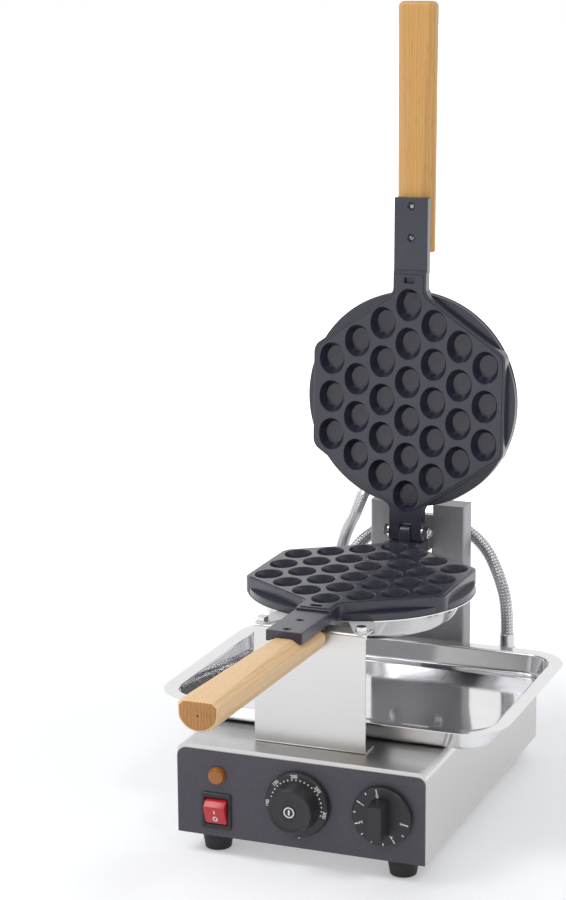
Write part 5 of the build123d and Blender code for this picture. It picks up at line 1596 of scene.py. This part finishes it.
def makeSwitch(size):
    place, ink, parts = controlPlace("switch_housing"), size["ink"], []
    housing = softCopy("switch_housing", size["housingEdge"])
    addPiece("switchHousing", housing, blackPlastic, "base", "black_plastic", "switch_housing")
    half = size["width"] / 2
    shell = extruded([tuple(p) for p in rounded(size["face"], 6)], 0, -half, half)
    mesh = bevelled(meshOf("rocker", *shell), size["edge"], 3, 40)
    mesh.transform(place)
    addPiece("rocker", settle(mesh), rockerRed, "rocker", "rocker_red", "power_rocker")
    # the marks lie on the slope from the face's first corner to its second
    low, high = Vector(size["face"][0][:2]), Vector(size["face"][1][:2])
    lean = atan2(high.y - low.y, high.x - low.x)
    bar = barMark("rockerBar", *size["bar"], 3, ink)
    ring = ringMark("rockerRing", *size["ring"], ink, squash=size["ringSquash"], count=60)
    for mesh, spot in ((bar, size["barSpot"]), (ring, size["ringSpot"])):
        out = low.y + (high.y - low.y) * (spot - low.x) / (high.x - low.x)
        mesh.transform(Matrix.Translation((0, spot, out)) @ Matrix.Rotation(lean, 4, "X"))
        parts.append(mesh)
    addMarks("rockerMarks", parts, place, "rocker", "rocker_red")


lens = {
    "radius": 7.4, "rim": 1.4, "shoulder": 6.4, "front": 4.2, "crown": 5.0, "reach": 5.0, "stem": 5.0,
    "depth": 18.0,
}


def makeLens(size):
    shell = lathe([
        (0, -size["depth"], 0), (size["stem"], -size["depth"], 0.3), (size["stem"], 0, 0),
        (size["radius"], 0, 0.2), (size["radius"], size["rim"], 0.6),
        (size["shoulder"], size["front"], 1.0), (size["crown"], size["reach"] - 0.1, 0.8),
        (0, size["reach"], 0),
    ])
    mesh = meshOf("pilotLens", *shell, place=controlPlace("pilot_lens"))
    addPiece("pilotLens", mesh, lampAmber, "base", "lamp_amber", "pilot_lens")


makeTemperatureDial(temperatureDial)
makeTimerDial(timerDial)
makeSwitch(switch)
makeLens(lens)
print("controls made")


# finishes of the nodes that stay as they are
nodeFinishes = {
    "cabinet_shell": brushedAcross,
    "bottom_plate": brushedAcross,
    "rear_panel": brushedAcross,
    "front_bracket": brushedAcross,
    "rear_column": brushedUpPaintedShade,
    "hinge_support": brushedUpPaintedShade,
    "control_panel": panelInk,
    "feet": footRubber,
    "pilot_nut": blackPlastic,
    "cord_gland": blackPlastic,
    "terminal_block": terminalWhite,
    "lower_element": elementSteel,
    "upper_element": elementSteel,
    "sensor_bulb": elementSteel,
    "lower_clamp_plate": elementSteel,
    "upper_clamp_plate": elementSteel,
    "thermostat_body": blackPlastic,
    "timer_body": blackPlastic,
}
for nodeName, node in nodes.items():
    node.data.materials.clear()
    node.data.materials.append(nodeFinishes.get(nodeName, zinc))
print("node finishes set")


# studio
studio = {
    "worldDiffuse": 0.52,
    "roomTones": [(0.0, (0.27, 0.27, 0.285)), (0.35, (0.47, 0.47, 0.485)), (0.62, (1.0, 1.0, 1.0))],
    "lamps": {                # place, size and power
        "keyLamp": ((-1.5, -1.3, 2.7), 1.4, 34.0),
        "fillLamp": ((1.4, -1.3, 2.4), 0.6, 11.0),
    },
    "lookAt": (0, 0, 0.25),
    "floorSize": 30.0,
    "floorColour": (0.87, 0.885, 0.92, 1),
    "floorGlow": 0.26,
    "floorNear": 0.35,        # radius of the floor that is lit as it stands
    "floorFar": 1.3,          # radius where it has gone over into plain white
}


def makeWorld(size):
    world = bpy.data.worlds.new("paleStudio")
    scene.world = world
    world.use_nodes = True
    tree = world.node_tree
    tree.nodes.clear()
    path = addNode(tree, "ShaderNodeLightPath").outputs
    seen = number(tree, "MAXIMUM", path["Is Camera Ray"], path["Is Glossy Ray"])
    clear = number(tree, "MAXIMUM", seen, path["Is Transmission Ray"])
    # the room behind the camera is darker than the backdrop, so polished steel has something to show
    way = addNode(tree, "ShaderNodeTexCoord").outputs["Generated"]
    back = addNode(tree, "ShaderNodeSeparateXYZ", Vector=way).outputs["Y"]
    room = ramp(tree, level(tree, back, 0.0, 1.0, -1.0, 1.0), size["roomTones"])
    shown = mixed(tree, path["Is Camera Ray"], room, (1, 1, 1, 1))
    white = addNode(tree, "ShaderNodeBackground", Color=shown, Strength=1.0)
    soft = addNode(tree, "ShaderNodeBackground", Color=(1, 1, 1, 1), Strength=size["worldDiffuse"])
    both = addNode(tree, "ShaderNodeMixShader", Fac=clear)
    feed(tree, both.inputs[1], soft.outputs[0])
    feed(tree, both.inputs[2], white.outputs[0])
    addNode(tree, "ShaderNodeOutputWorld", Surface=both.outputs[0])


def makeLamp(name, place, size, power, target):
    data = bpy.data.lights.new(name, "AREA")
    data.energy = power
    data.size = size
    lamp = held(name, data)
    lamp.location = place
    lamp.rotation_euler = (Vector(target) - Vector(place)).to_track_quat("-Z", "Y").to_euler()


def makeFloor(size):
    half = size["floorSize"] / 2
    mesh = bpy.data.meshes.new("floor")
    corners = [(-half, -half, tableZ), (half, -half, tableZ), (half, half, tableZ), (-half, half, tableZ)]
    mesh.from_pydata(corners, [], [(0, 1, 2, 3)])
    floorPiece = held("floor", mesh)
    finish, tree, shader = newFinish("paleFloor", Roughness=0.6, Specular_IOR_Level=0.2)
    shader.inputs["Base Color"].default_value = size["floorColour"]
    path = addNode(tree, "ShaderNodeLightPath").outputs
    seen = number(tree, "MAXIMUM", path["Is Camera Ray"], path["Is Glossy Ray"])
    away = addNode(tree, "ShaderNodeVectorMath", {"operation": "LENGTH"})
    feed(tree, away.inputs[0], addNode(tree, "ShaderNodeTexCoord").outputs["Object"])
    near, far = size["floorNear"], size["floorFar"]
    fade = level(tree, away.outputs["Value"], size["floorGlow"], 1.0, near, far, "SMOOTHSTEP")
    glowing = number(tree, "MULTIPLY", seen, fade)
    glow = addNode(tree, "ShaderNodeEmission", Color=(1, 1, 1, 1), Strength=glowing)
    both = addNode(tree, "ShaderNodeAddShader")
    feed(tree, both.inputs[0], shader.outputs[0])
    feed(tree, both.inputs[1], glow.outputs[0])
    feed(tree, tree.nodes["Material Output"].inputs["Surface"], both.outputs[0])
    mesh.materials.append(finish)


makeWorld(studio)
for name, (place, size, power) in studio["lamps"].items():
    makeLamp(name, place, size, power, studio["lookAt"])
makeFloor(studio)
scene.view_settings.view_transform = "Standard"
print("studio made")
